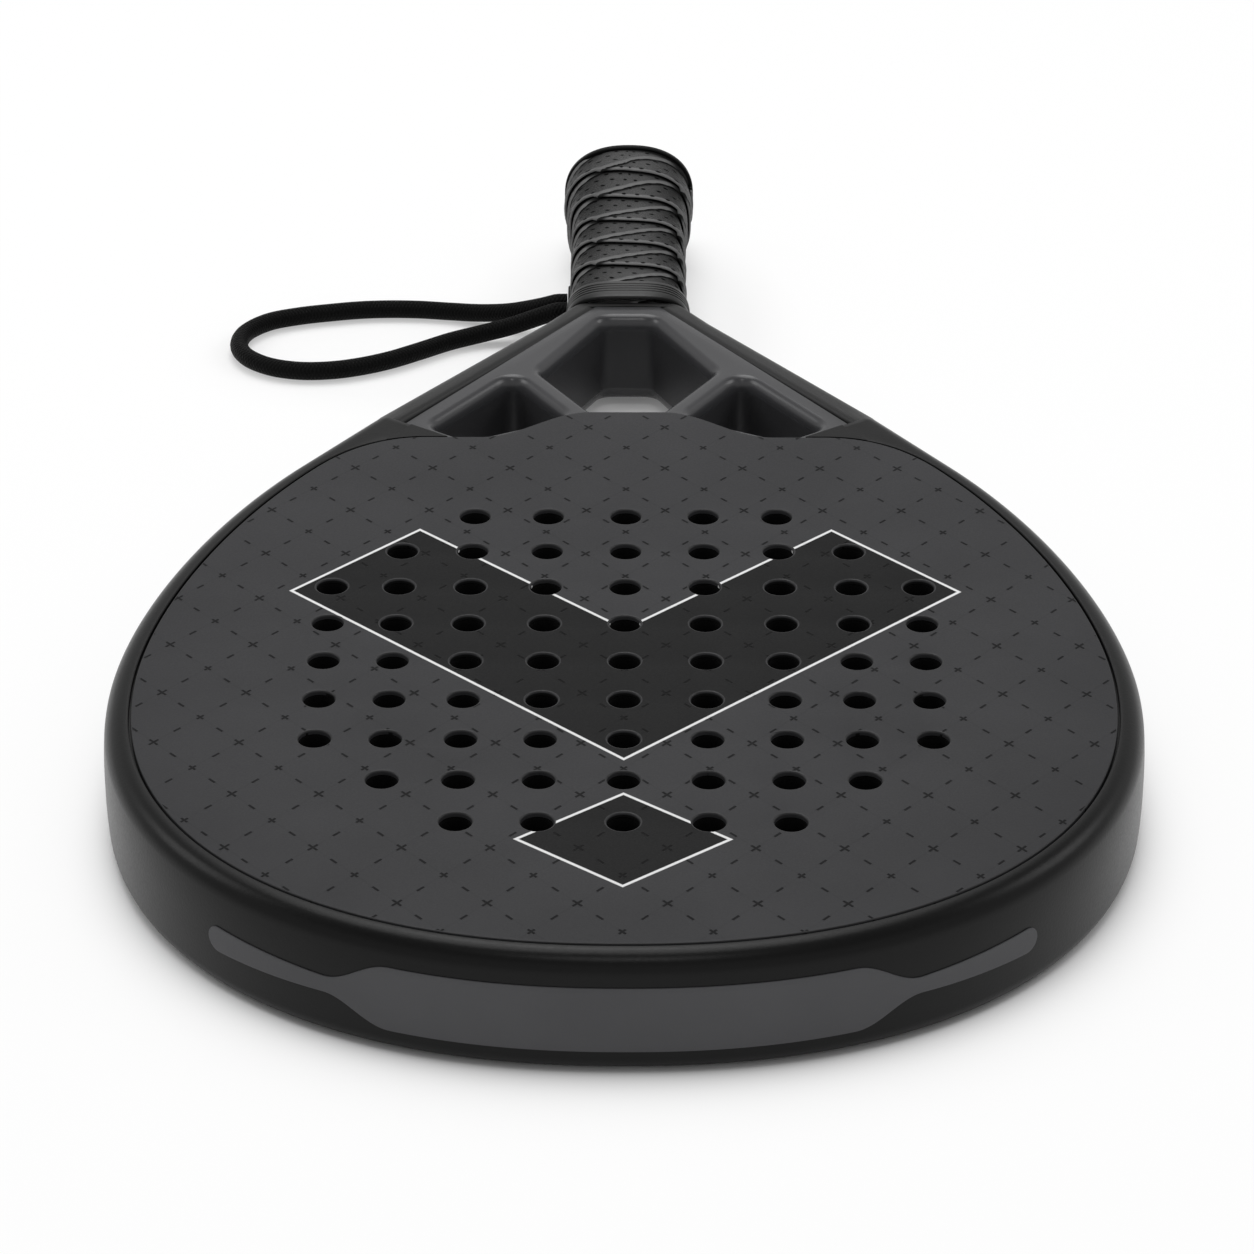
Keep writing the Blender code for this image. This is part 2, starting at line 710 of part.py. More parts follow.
def round_window_edges(mesh, windows, half):
    """Round over the upper and lower rims of the windows."""
    near = CLEARANCE / 10
    work = bmesh.new()
    work.from_mesh(mesh)
    bmesh.ops.dissolve_limit(work, angle_limit=0.001, verts=work.verts, edges=work.edges)
    corners = {(round(place.x / near), round(place.y / near)) for loop in windows for place in loop}

    def on_window(vert):
        key = (round(vert.co.x / near), round(vert.co.y / near))
        return key in corners and abs(abs(vert.co.z - MID_Z) - half) < near

    edges = [edge for edge in work.edges
             if all(on_window(vert) for vert in edge.verts)
             and abs(edge.verts[0].co.z - edge.verts[1].co.z) < near
             and edge.calc_face_angle(0.0) > 1.0]
    bmesh.ops.bevel(work, geom=edges, offset=WINDOW_ROUND, segments=3, profile=0.5,
                    affect="EDGES", clamp_overlap=True, material=-1)
    bmesh.ops.triangulate(work, faces=work.faces)
    work.to_mesh(mesh)
    work.free()


def guard_half_height(arc):
    if arc <= GUARD_WAIST:
        share = max((arc - GUARD_HALF_LENGTH) / (GUARD_WAIST - GUARD_HALF_LENGTH), 0.0)
        drop = GUARD_HALF_HEIGHT - GUARD_ARM_HALF_HEIGHT
        return GUARD_ARM_HALF_HEIGHT + drop * (1 + math.cos(math.pi * share)) / 2
    share = (arc - GUARD_WAIST) / (GUARD_ARM_LENGTH - GUARD_WAIST)
    width = GUARD_ARM_HALF_HEIGHT + (GUARD_END_HALF_HEIGHT - GUARD_ARM_HALF_HEIGHT) * share
    to_end = min((GUARD_ARM_LENGTH - arc) / GUARD_END_HALF_HEIGHT, 1.0)
    return max(width * math.sqrt(max(1 - (1 - to_end) ** 2, 0.0)), CLEARANCE)


def build_guard(shop):
    """Protector film that follows the outer wall, tall at the tip with two long arms."""
    fine_steps = 300
    fine = [tip_point(math.pi / 2 * (1 - step / fine_steps)) for step in range(fine_steps + 1)]
    arc = 0.0
    wanted = [GUARD_ARM_LENGTH * step / GUARD_STEPS for step in range(GUARD_STEPS + 1)]
    rings = []
    for before, after in zip(fine, fine[1:]):
        span = (after - before).length
        along = (after - before).normalized()
        outward = Vector((along.y, -along.x))
        while wanted and wanted[0] <= arc + span:
            place = before + along * (wanted[0] - arc)
            if not rings:
                place.x = 0.0
                outward = Vector((0.0, -1.0))
            half = guard_half_height(wanted.pop(0))
            inner = place + outward * CLEARANCE
            outer = inner + outward * GUARD_THICKNESS
            rings.append([Vector((*inner, MID_Z - half)), Vector((*outer, MID_Z - half)),
                          Vector((*outer, MID_Z + half)), Vector((*inner, MID_Z + half))])
        arc += span
    left = [[Vector((-place.x, place.y, place.z)) for place in ring] for ring in reversed(rings[1:])]
    shop.part("head_guard", lofted(left + rings), "grey_film")


# Parts of the handle


def build_handle_cores(shop):
    low = COLLAR_Y + 2 * CLEARANCE + HUB_GAP
    high = BUTT_Y - BUTT_WALL - CLEARANCE
    stand_up = Matrix.Translation((0.0, 0.0, MID_Z)) @ Matrix.Rotation(math.pi / 2, 4, "X")
    gap = CLEARANCE / 2
    points = SECTION_POINTS // 2
    halves = {"handle_core_upper": 1, "handle_core_lower": -1}
    cores = {}
    for name, side in halves.items():
        angles = [side * math.pi * index / points for index in range(points + 1)]
        ring = [section_place(CORE_HALF, 0.0, angle) for angle in angles]
        loop = [Vector((place.x, side * max(abs(place.z - MID_Z), gap))) for place in ring]
        mesh = extruded([loop], -high, -low, stand_up)
        cores[name] = shop.part(name, shade(mesh), "pale_foam")
    cut_leg_slots(shop, cores.values(), low)
    pocket = pocket_cutter(shop)
    combine(cores["handle_core_lower"], pocket)
    return cores


def cut_leg_slots(shop, cores, low):
    leg_end = COLLAR_Y + LEG_LENGTH + CLEARANCE
    start = low - CLEARANCE
    for name, side in (("left_leg_slot", -1), ("right_leg_slot", 1)):
        size = (LEG_WIDTH + 2 * CLEARANCE, leg_end - start, LEG_THICKNESS + 2 * CLEARANCE)
        centre = (side * (LEG_REACH - LEG_WIDTH / 2), (leg_end + start) / 2, MID_Z)
        slot = shop.cutter(name, box_mesh(size, centre))
        for core in cores:
            combine(core, slot)


def box_mesh(size, centre):
    work = bmesh.new()
    bmesh.ops.create_cube(work, size=1.0)
    bmesh.ops.scale(work, vec=size, verts=work.verts)
    bmesh.ops.translate(work, vec=centre, verts=work.verts)
    mesh = bpy.data.meshes.new("box")
    work.to_mesh(mesh)
    work.free()
    return mesh


def pocket_cutter(shop):
    """Room for the knot, open to the split between the two core halves."""
    room = 2 * CLEARANCE
    low = CORD_EXIT_HEIGHT - KNOT_RADII[2] - CLEARANCE
    high = MID_Z + CLEARANCE
    size = (2 * (KNOT_RADII[0] + room), 2 * KNOT_ROOM_HALF, high - low)
    return shop.cutter("knot_pocket", box_mesh(size, (KNOT_CENTRE_X, CORD_EXIT_Y, (low + high) / 2)))


def grommet_outline(extra):
    return stadium(STRAND_SPACING + 2 * (BORE_HALF + extra), 2 * (BORE_HALF + extra))


def build_base_grip(shop):
    inner = grown(CORE_HALF, CLEARANCE)
    low = COLLAR_Y + CLEARANCE + HUB_GAP
    return shop.part("base_grip", sleeve(inner, BASE_HALF, low, FLARE_Y - CLEARANCE), "black_rubber")


def tape_section(angle):
    """The tape's two edges at one place of the helix, and its butt edge before trimming."""
    middle = COLLAR_Y + TAPE_PITCH * angle / (2 * math.pi)
    butt_edge = middle + TAPE_WIDTH / 2
    low = max(middle - TAPE_WIDTH / 2, COLLAR_Y + CLEARANCE + HUB_GAP)
    high = min(butt_edge, RIM_Y - CLEARANCE)
    if high - low < TAPE_LEAST_WIDTH:
        return None
    return low, high, butt_edge


def tape_place(y, lift, angle):
    return section_place(grown(flare_half(y), lift), y, angle, flare_fullness(y))


def tape_lift(from_butt_edge):
    """Height of the tape's underside: its butt edge rides over the turn before it."""
    return CLEARANCE + TAPE_SLOPE * (TAPE_WIDTH - from_butt_edge)


def build_overgrip(shop):
    step = 2 * math.pi / TAPE_POINTS_PER_TURN
    turns = (HANDLE_LENGTH + TAPE_WIDTH) / TAPE_PITCH
    count = int(turns * TAPE_POINTS_PER_TURN) + 1
    rings = []
    for index in range(-TAPE_POINTS_PER_TURN, count):
        section = tape_section(index * step)
        if not section:
            continue
        low, high, butt_edge = section
        places = [low + (high - low) * strip / TAPE_STRIPS for strip in range(TAPE_STRIPS + 1)]
        under = [tape_place(y, tape_lift(butt_edge - y), index * step) for y in places]
        over = [tape_place(y, tape_lift(butt_edge - y) + TAPE_THICKNESS, index * step) for y in places]
        rings.append(under + over[::-1])
    print_least_gap(rings)
    return shop.part("overgrip", lofted(rings), "black_grip")


def print_least_gap(rings):
    """Least distance from each turn's underside to the upper side of the turn under it."""
    least = math.inf
    for ring, below in zip(rings, rings[TAPE_POINTS_PER_TURN:]):
        upper_side = below[TAPE_STRIPS + 1:]
        for place in ring[:TAPE_STRIPS + 1]:
            for start, end in zip(upper_side, upper_side[1:]):
                span = end - start
                share = min(max((place - start).dot(span) / span.length_squared, 0.0), 1.0)
                least = min(least, (place - start - span * share).length)
    print("overgrip: least gap between turns %.2f mm" % (least * 1000))


def build_finishing_tape(shop):
    low = COLLAR_Y + CLEARANCE + HUB_GAP
    inner = grown(BASE_HALF, FINISHING_RISE)
    outer = grown(inner, FINISHING_TAPE_THICKNESS)
    shop.part("finishing_tape", sleeve(inner, outer, low, low + FINISHING_TAPE_LENGTH), "black_plastic")


def build_collar(shop):
    """Rubber ring with raised ribs; it slides back over the grip."""
    inner = grown(BASE_HALF, COLLAR_RISE)
    groove = grown(inner, COLLAR_WALL - COLLAR_GROOVE)
    rib = grown(inner, COLLAR_WALL)
    pitch = COLLAR_LENGTH / COLLAR_RIBS
    rings = []
    for index in range(COLLAR_RIBS):
        start = COLLAR_Y + index * pitch
        rings.append(section_ring(groove, start))
        rings.append(section_ring(rib, start + pitch * RIB_START))
        rings.append(section_ring(rib, start + pitch * RIB_END))
    end = COLLAR_Y + COLLAR_LENGTH
    rings.append(section_ring(groove, end))
    rings.append(section_ring(inner, end))
    rings.append(section_ring(inner, COLLAR_Y))
    origin = (0.0, COLLAR_Y, MID_Z)
    shop.part("grip_collar", lofted(rings, closed=True), "black_rubber", origin)


def build_butt_cap(shop):
    """Cup over the end of the core, flared like the tape's seat, with a rim past the tape."""
    inner = grown(CORE_HALF, CLEARANCE)
    floor_y = BUTT_Y - BUTT_WALL
    rings = [section_ring(inner, floor_y), section_ring(inner, FLARE_Y)]
    flare_steps = 6
    round_steps = 3
    for step in range(flare_steps + 1):
        y = FLARE_Y + FLARE_RUN * step / flare_steps
        rings.append(flare_ring(y))
    rings.append(flare_ring(RIM_Y))
    for step in range(round_steps + 1):
        angle = math.pi / 2 * step / round_steps
        half = grown(BUTT_RIM_HALF, -BUTT_RIM_ROUND * (1 - math.cos(angle)))
        start = BUTT_Y - BUTT_RIM_ROUND if step else RIM_Y
        rings.append(section_ring(half, start + BUTT_RIM_ROUND * math.sin(angle), BUTT_FULLNESS))
    return shop.part("butt_cap", lofted(rings), "black_plastic")


def pin_mesh(side, diameter, reach, length):
    work = bmesh.new()
    bmesh.ops.create_cone(work, cap_ends=True, segments=PIN_SIDES, radius1=diameter / 2,
                          radius2=diameter / 2, depth=length)
    middle = (side * (reach - length / 2), FLARE_Y + PIN_TO_FLARE, MID_Z + PIN_HEIGHT)
    lay_down = Matrix.Rotation(math.pi / 2, 4, "Y")
    bmesh.ops.transform(work, matrix=Matrix.Translation(middle) @ lay_down, verts=work.verts)
    mesh = bpy.data.meshes.new("pin")
    work.to_mesh(mesh)
    work.free()
    return shade(mesh)


def build_pins(shop, cap, core):
    """Pins through the cap's skirt into the upper half of the core."""
    reach = CORE_HALF[0] + CLEARANCE / 2
    for name, side in (("butt_pin_left", -1), ("butt_pin_right", 1)):
        shop.part(name, pin_mesh(side, PIN_DIAMETER, reach, PIN_LENGTH), "steel")
        room = 2 * CLEARANCE
        hole = pin_mesh(side, PIN_DIAMETER + room, BUTT_RIM_HALF[0],
                        BUTT_RIM_HALF[0] - reach + PIN_LENGTH + CLEARANCE)
        cutter = shop.cutter(name + "_hole", hole)
        combine(cap, cutter)
        combine(core, cutter)


# Wrist cord


def smooth_route(points, steps=12):
    """Smooth curve through all the points, finely stepped."""
    places = [Vector(point) for point in points]
    ends = [places[0] * 2 - places[1]] + places + [places[-1] * 2 - places[-2]]
    route = []
    for before, start, end, after in zip(ends, ends[1:], ends[2:], ends[3:]):
        for step in range(steps):
            t = step / steps
            route.append(0.5 * (2 * start + (end - before) * t
                                + (2 * before - 5 * start + 4 * end - after) * t ** 2
                                + (3 * start - before - 3 * end + after) * t ** 3))
    route.append(places[-1])
    return route


def evenly_spaced(route, spacing):
    lengths = [0.0]
    for before, after in zip(route, route[1:]):
        lengths.append(lengths[-1] + (after - before).length)
    count = round(lengths[-1] / spacing)
    spaced = []
    index = 0
    for step in range(count + 1):
        wanted = lengths[-1] * step / count
        while index < len(route) - 2 and lengths[index + 1] < wanted:
            index += 1
        share = (wanted - lengths[index]) / (lengths[index + 1] - lengths[index])
        spaced.append(route[index].lerp(route[index + 1], share))
    return spaced, lengths[-1]


def build_cord(shop):
    spaced, length = evenly_spaced(smooth_route(CORD_ROUTE[1:-1]), CORD_STEP)
    spaced = [Vector(CORD_ROUTE[0])] + spaced + [Vector(CORD_ROUTE[-1])]
    length += 2 * CORD_LEAD
    curve = bpy.data.curves.new("wrist_cord", "CURVE")
    curve.dimensions = "3D"
    curve.bevel_depth = CORD_DIAMETER / 2
    curve.bevel_resolution = 2
    curve.use_fill_caps = True
    spline = curve.splines.new("POLY")
    spline.points.add(len(spaced) - 1)
    for point, place in zip(spline.points, spaced):
        point.co = (*place, 1.0)
    curve.materials.append(finish_material("black_cord"))
    cord = bpy.data.objects.new("wrist_cord", curve)
    cord.parent = shop.root
    shop.parts.objects.link(cord)
    print("wrist cord: free length %.0f mm" % (length * 1000))


def build_grommet(shop, lined_parts):
    """Flanged bush for both strands, through the tape, the base grip and the core."""
    outer = grommet_outline(GROMMET_WALL)
    flange = grommet_outline(GROMMET_WALL + GROMMET_FLANGE_LIP)
    bore = grommet_outline(0.0)
    side = cord_side()
    inner_end = GROMMET_REACH - GROMMET_DEPTH
    flange_start = GROMMET_REACH - GROMMET_FLANGE
    levels = ((bore, inner_end), (outer, inner_end), (outer, flange_start),
              (flange, flange_start), (flange, GROMMET_REACH), (bore, GROMMET_REACH))
    rings = [[side @ Vector((*place, level)) for place in loop] for loop, level in levels]
    shop.part("cord_grommet", lofted(rings, closed=True), "black_plastic")
    room = extruded([grommet_outline(GROMMET_WALL + CLEARANCE)], -KNOT_CENTRE_X, flange_start, side)
    cutter = shop.cutter("grommet_hole", room)
    for part in lined_parts:
        combine(part, cutter)


def build_knot(shop):
    """Stopper knot with the two tails that lie in the grommet."""
    work = bmesh.new()
    bmesh.ops.create_uvsphere(work, u_segments=16, v_segments=8, radius=1.0)
    bmesh.ops.scale(work, vec=KNOT_RADII, verts=work.verts)
    bmesh.ops.translate(work, vec=(KNOT_CENTRE_X, CORD_EXIT_Y, CORD_EXIT_HEIGHT), verts=work.verts)
    mesh = bpy.data.meshes.new("knot")
    work.to_mesh(mesh)
    work.free()
    knot = shop.part("cord_knot", shade(mesh), "black_cord")
    length = GROMMET_REACH + KNOT_CENTRE_X
    for name, side in (("near_tail", -1), ("far_tail", 1)):
        tail = bmesh.new()
        bmesh.ops.create_cone(tail, cap_ends=True, segments=CORD_SIDES, radius1=CORD_DIAMETER / 2,
                              radius2=CORD_DIAMETER / 2, depth=length)
        middle = Vector((side * STRAND_SPACING / 2, 0.0, GROMMET_REACH - length / 2))
        bmesh.ops.transform(tail, matrix=cord_side() @ Matrix.Translation(middle), verts=tail.verts)
        tail_mesh = bpy.data.meshes.new(name)
        tail.to_mesh(tail_mesh)
        tail.free()
        combine(knot, shop.cutter(name, tail_mesh), "UNION")


def build_racket():
    clear_scene()
    shop = Workshop()
    build_frame(shop)
    build_faces(shop)
    build_fillers(shop)
    build_bridge(shop)
    build_guard(shop)
    cores = build_handle_cores(shop)
    base_grip = build_base_grip(shop)
    overgrip = build_overgrip(shop)
    build_finishing_tape(shop)
    build_collar(shop)
    cap = build_butt_cap(shop)
    build_pins(shop, cap, cores["handle_core_upper"])
    build_grommet(shop, (overgrip, base_grip, cores["handle_core_lower"]))
    build_knot(shop)
    build_cord(shop)


build_racket()
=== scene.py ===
# Padel racket lying on a pale floor: +Y runs from the tip to the butt, +Z is up, metres
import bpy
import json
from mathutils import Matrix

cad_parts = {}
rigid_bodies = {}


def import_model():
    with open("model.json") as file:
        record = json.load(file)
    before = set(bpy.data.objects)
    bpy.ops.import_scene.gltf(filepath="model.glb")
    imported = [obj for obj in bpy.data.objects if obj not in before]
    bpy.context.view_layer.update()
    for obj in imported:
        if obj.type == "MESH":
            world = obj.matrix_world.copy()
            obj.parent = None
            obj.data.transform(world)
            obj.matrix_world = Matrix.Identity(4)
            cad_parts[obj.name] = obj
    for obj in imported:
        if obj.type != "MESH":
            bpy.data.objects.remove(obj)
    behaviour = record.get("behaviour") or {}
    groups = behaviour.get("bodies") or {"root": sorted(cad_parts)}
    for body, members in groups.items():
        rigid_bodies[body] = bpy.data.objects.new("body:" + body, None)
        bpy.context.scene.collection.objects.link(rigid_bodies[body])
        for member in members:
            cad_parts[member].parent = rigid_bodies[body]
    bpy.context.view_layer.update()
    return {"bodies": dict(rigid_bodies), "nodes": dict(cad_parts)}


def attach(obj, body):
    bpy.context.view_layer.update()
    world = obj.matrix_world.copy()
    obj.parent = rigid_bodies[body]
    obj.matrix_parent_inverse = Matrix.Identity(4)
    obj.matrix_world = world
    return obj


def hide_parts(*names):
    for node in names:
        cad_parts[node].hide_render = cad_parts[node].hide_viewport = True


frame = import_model()

import json
import math

import bmesh
import bpy
from mathutils import Matrix, Vector

keptItems = set(frame["nodes"].values()) | set(frame["bodies"].values())
for item in list(bpy.data.objects):
    if item not in keptItems:
        bpy.data.objects.remove(item, do_unlink=True)

# the outline that every piece of the head and throat follows
plan = {
    "halfWidth": 0.130,
    "widestY": -0.104,
    "tipReach": 0.1226,
    "tipFullness": 2.2,
    "shoulder": Vector((0.090, 0.018)),
    "sideFullness": 0.6,
    "neck": Vector((0.0185, 0.1212)),
    "thickness": 0.032,
    "seam": 0.0003,
    "crownY": 0.032,
    "crownRise": 0.015,
    "crownFlat": 0.010,
    "crownFoot": 0.040,
    "crownEase": 0.017,
    "stepRise": 0.035,
    "stepLength": 0.0008,
}
midZ = plan["thickness"] / 2
seam = plan["seam"]
armAlong = (plan["shoulder"] - plan["neck"]).normalized()
armInward = Vector((armAlong.y, -armAlong.x))


# camera and light

view = {
    "place": (0.004669, -1.14918, 0.64830),
    "tilt": 60.2,
    "turn": 0.22,
    "field": 14.736,
    "nearest": 0.02,
}


def addItem(name, data):
    item = bpy.data.objects.new(name, data)
    bpy.context.scene.collection.objects.link(item)
    return item


def addCamera():
    lens = bpy.data.cameras.new("photoLens")
    lens.angle = math.radians(view["field"])
    lens.clip_start = view["nearest"]
    camera = addItem("photoCamera", lens)
    camera.location = view["place"]
    camera.rotation_euler = (math.radians(view["tilt"]), 0.0, math.radians(view["turn"]))
    bpy.context.scene.camera = camera


lamps = {
    "topSoft": {"place": (-0.10, 0.40, 1.24), "aim": (0.0, -0.05, 0.0), "size": 0.9, "power": 6.3},
    "backSoft": {"place": (-0.05, 0.95, 1.15), "aim": (0.0, -0.1, 0.0), "size": 0.55, "power": 2.0},
    "frontSoft": {"place": (0.0, -0.62, 1.15), "aim": (0.0, -0.2, 0.0), "size": 0.34, "power": 1.1},
    "leftSoft": {"place": (-0.95, 0.20, 0.75), "aim": (0.0, 0.02, 0.0), "size": 0.55, "power": 2.0},
    "rightSoft": {"place": (0.95, 0.20, 0.75), "aim": (0.0, 0.02, 0.0), "size": 0.55, "power": 2.0},
}
worldTone = {"light": 0.40, "low": 0.64, "high": 0.20, "bend": (0.50, 0.80)}
floorTone = {
    "colour": (0.96, 0.96, 0.96, 1.0),
    "white": 0.90,
    "edge": 0.985,
    "clearing": 20.0,
    "shadeEdge": (0.8, 1.2),
    "shadeFullness": 2.0,
    "half": 4.0,
    "drop": 0.0002,
}
floorShades = (    # ovals where the floor keeps more of its shadow: throat, handle and cord
    {"middle": (0.0, 0.080), "half": (0.055, 0.050), "share": 0.24},
    {"middle": (0.0, 0.165), "half": (0.045, 0.060), "share": 0.55},
    {"middle": (-0.075, 0.148), "half": (0.055, 0.035), "share": 0.48},
)


def addLamps():
    for name, values in lamps.items():
        lamp = bpy.data.lights.new(name, "AREA")
        lamp.shape = "DISK"
        lamp.size = values["size"]
        lamp.energy = values["power"]
        holder = addItem(name, lamp)
        holder.location = values["place"]
        aim = Vector(values["aim"]) - Vector(values["place"])
        holder.rotation_euler = aim.to_track_quat("-Z", "Y").to_euler()
    world = bpy.data.worlds.new("paleRoom")
    world.use_nodes = True
    tree = world.node_tree
    sky = tree.nodes["Background"]
    sky.inputs["Color"].default_value = (1.0, 1.0, 1.0, 1.0)
    height = splitNode(tree, objectCoords(tree))[2]
    # paler low down
    seen = rampNode(tree, height, *worldTone["bend"], worldTone["low"], worldTone["high"], True)
    feed(tree, sky.inputs["Strength"], rampNode(tree, seenNode(tree), 0.0, 1.0, worldTone["light"], seen))
    bpy.context.scene.world = world
    bpy.context.scene.view_settings.view_transform = "Standard"


def makeFloorFinish():
    # pale floor that the camera sees partly as plain white, most of all away from the racket
    material = bpy.data.materials.new("paleFloor")
    material.use_nodes = True
    tree = material.node_tree
    shader = tree.nodes["Principled BSDF"]
    shader.inputs["Base Color"].default_value = floorTone["colour"]
    shader.inputs["Roughness"].default_value = 1.0
    shader.inputs["Specular IOR Level"].default_value = 0.0
    x, y = splitNode(tree, objectCoords(tree))[:2]
    head = (plan["halfWidth"], plan["tipReach"])
    fromHead = ovalNode(tree, x, y, (0.0, plan["widestY"]), head, plan["tipFullness"])
    outside = larger(tree, minus(tree, fromHead, floorTone["edge"]), 0.0)
    shaded = mathNode(tree, "EXPONENT", times(tree, outside, -floorTone["clearing"]))
    share = times(tree, minus(tree, 1.0, shaded), floorTone["white"])
    for shade in floorShades:
        away = ovalNode(tree, x, y, shade["middle"], shade["half"], floorTone["shadeFullness"])
        share = times(tree, share, rampNode(tree, away, *floorTone["shadeEdge"], shade["share"], 1.0))
    white = tree.nodes.new("ShaderNodeEmission")
    blend = tree.nodes.new("ShaderNodeMixShader")
    feed(tree, blend.inputs[0], times(tree, seenNode(tree), share))
    feed(tree, blend.inputs[1], shader.outputs[0])
    feed(tree, blend.inputs[2], white.outputs[0])
    feed(tree, tree.nodes["Material Output"].inputs["Surface"], blend.outputs[0])
    return material


def addFloor():
    bm = bmesh.new()
    bmesh.ops.create_grid(bm, x_segments=1, y_segments=1, size=floorTone["half"])
    mesh = bpy.data.meshes.new("floor")
    bm.to_mesh(mesh)
    bm.free()
    floor = addItem("floor", mesh)
    floor.location.z = -floorTone["drop"]
    mesh.materials.append(makeFloorFinish())


# shader building

def feed(tree, socket, value):
    if isinstance(value, bpy.types.NodeSocket):
        tree.links.new(value, socket)
    else:
        socket.default_value = value


def mathNode(tree, operation, *values):
    node = tree.nodes.new("ShaderNodeMath")
    node.operation = operation
    for socket, value in zip(node.inputs, values):
        feed(tree, socket, value)
    return node.outputs[0]


def mathCall(operation):
    def build(tree, *values):
        return mathNode(tree, operation, *values)
    return build


plus, minus, times, ratio = [mathCall(name) for name in ("ADD", "SUBTRACT", "MULTIPLY", "DIVIDE")]
larger, smaller, unsigned = [mathCall(name) for name in ("MAXIMUM", "MINIMUM", "ABSOLUTE")]


def rampNode(tree, value, fromLow, fromHigh, toLow, toHigh, smooth=False):
    node = tree.nodes.new("ShaderNodeMapRange")
    node.interpolation_type = "SMOOTHSTEP" if smooth else "LINEAR"
    feed(tree, node.inputs["Value"], value)
    names = ("From Min", "From Max", "To Min", "To Max")
    for name, number in zip(names, (fromLow, fromHigh, toLow, toHigh)):
        feed(tree, node.inputs[name], number)
    return node.outputs["Result"]


def fadeIn(tree, value, low, high):
    return rampNode(tree, value, low, high, 0.0, 1.0, True)


def fadeOut(tree, value, low, high):
    return rampNode(tree, value, low, high, 1.0, 0.0, True)


def mixNode(tree, share, first, second):
    node = tree.nodes.new("ShaderNodeMix")
    node.data_type = "RGBA"
    feed(tree, node.inputs[0], share)
    feed(tree, node.inputs[6], first)
    feed(tree, node.inputs[7], second)
    return node.outputs[2]


def noiseNode(tree, coords, scale, detail=3.0):
    node = tree.nodes.new("ShaderNodeTexNoise")
    feed(tree, node.inputs["Vector"], coords)
    feed(tree, node.inputs["Scale"], scale)
    feed(tree, node.inputs["Detail"], detail)
    return node.outputs["Fac"]


def objectCoords(tree):
    return tree.nodes.new("ShaderNodeTexCoord").outputs["Object"]


def splitNode(tree, vector):
    node = tree.nodes.new("ShaderNodeSeparateXYZ")
    feed(tree, node.inputs[0], vector)
    return node.outputs


def ovalNode(tree, x, y, middle, half, fullness):
    # 1 on an oval, less inside it
    parts = []
    for value, centre, reach in zip((x, y), middle, half):
        away = ratio(tree, minus(tree, value, centre), reach)
        parts.append(mathNode(tree, "POWER", unsigned(tree, away), fullness))
    return mathNode(tree, "POWER", plus(tree, *parts), 1 / fullness)


def seenNode(tree):
    # 1 for what the camera sees straight, mirrored or through something
    rays = tree.nodes.new("ShaderNodeLightPath").outputs
    seen = plus(tree, rays["Is Camera Ray"], rays["Is Glossy Ray"])
    return smaller(tree, plus(tree, seen, rays["Is Transmission Ray"]), 1.0)


def bumpNode(tree, height, strength, depth):
    node = tree.nodes.new("ShaderNodeBump")
    node.inputs["Strength"].default_value = strength
    node.inputs["Distance"].default_value = depth
    feed(tree, node.inputs["Height"], height)
    return node.outputs["Normal"]


addCamera()
addLamps()
addFloor()
print("stage set")


grainForm = {
    "detail": {"Cloud": 4.0, "Speck": 2.0},
    "spread": (0.3, 0.7),
    "depth": 0.0003,
}


def grainGroup():
    # slow change of tone and a fine speck, shared by all the finishes
    group = bpy.data.node_groups.new("surfaceGrain", "ShaderNodeTree")
    for name in grainForm["detail"]:
        group.interface.new_socket(name + " Scale", in_out="INPUT", socket_type="NodeSocketFloat")
        group.interface.new_socket(name, in_out="OUTPUT", socket_type="NodeSocketFloat")
    entry = group.nodes.new("NodeGroupInput")
    leave = group.nodes.new("NodeGroupOutput")
    coords = objectCoords(group)
    for name, detail in grainForm["detail"].items():
        noise = noiseNode(group, coords, entry.outputs[name + " Scale"], detail)
        feed(group, leave.inputs[name], rampNode(group, noise, *grainForm["spread"], 0.0, 1.0))
    return group


surfaceGrain = grainGroup()


def newFinish(name, values):
    material = bpy.data.materials.new(name)
    material.use_nodes = True
    tree = material.node_tree
    shader = tree.nodes["Principled BSDF"]
    shader.inputs["Specular IOR Level"].default_value = values["shine"]
    grain = tree.nodes.new("ShaderNodeGroup")
    grain.node_tree = surfaceGrain
    grain.inputs["Cloud Scale"].default_value = values["cloud"]
    grain.inputs["Speck Scale"].default_value = values["speck"]
    low, high = values["rough"]
    feed(tree, shader.inputs["Roughness"], rampNode(tree, grain.outputs["Speck"], 0.0, 1.0, low, high))
    colour = mixNode(tree, grain.outputs["Cloud"], values["dark"], values["light"])
    if "paintedSideShade" in values:
        side = unsigned(tree, splitNode(tree, objectCoords(tree))[0])
        # painted shade: darker and less shiny down the sides
        paintedSideShade = rampNode(tree, side, *values["paintedSideShade"], 0.0, values["flankShade"], True)
        colour = mixNode(tree, paintedSideShade, colour, deepShade)
        shine = rampNode(tree, paintedSideShade, 0.0, 1.0, values["shine"], 0.0)
        feed(tree, shader.inputs["Specular IOR Level"], shine)
    feed(tree, shader.inputs["Base Color"], colour)
    bump = bumpNode(tree, grain.outputs["Speck"], values["bump"], grainForm["depth"])
    feed(tree, shader.inputs["Normal"], bump)
    return material, tree, shader, colour, grain


def grey(level, blue=1.0):
    return (level, level, level * blue, 1.0)


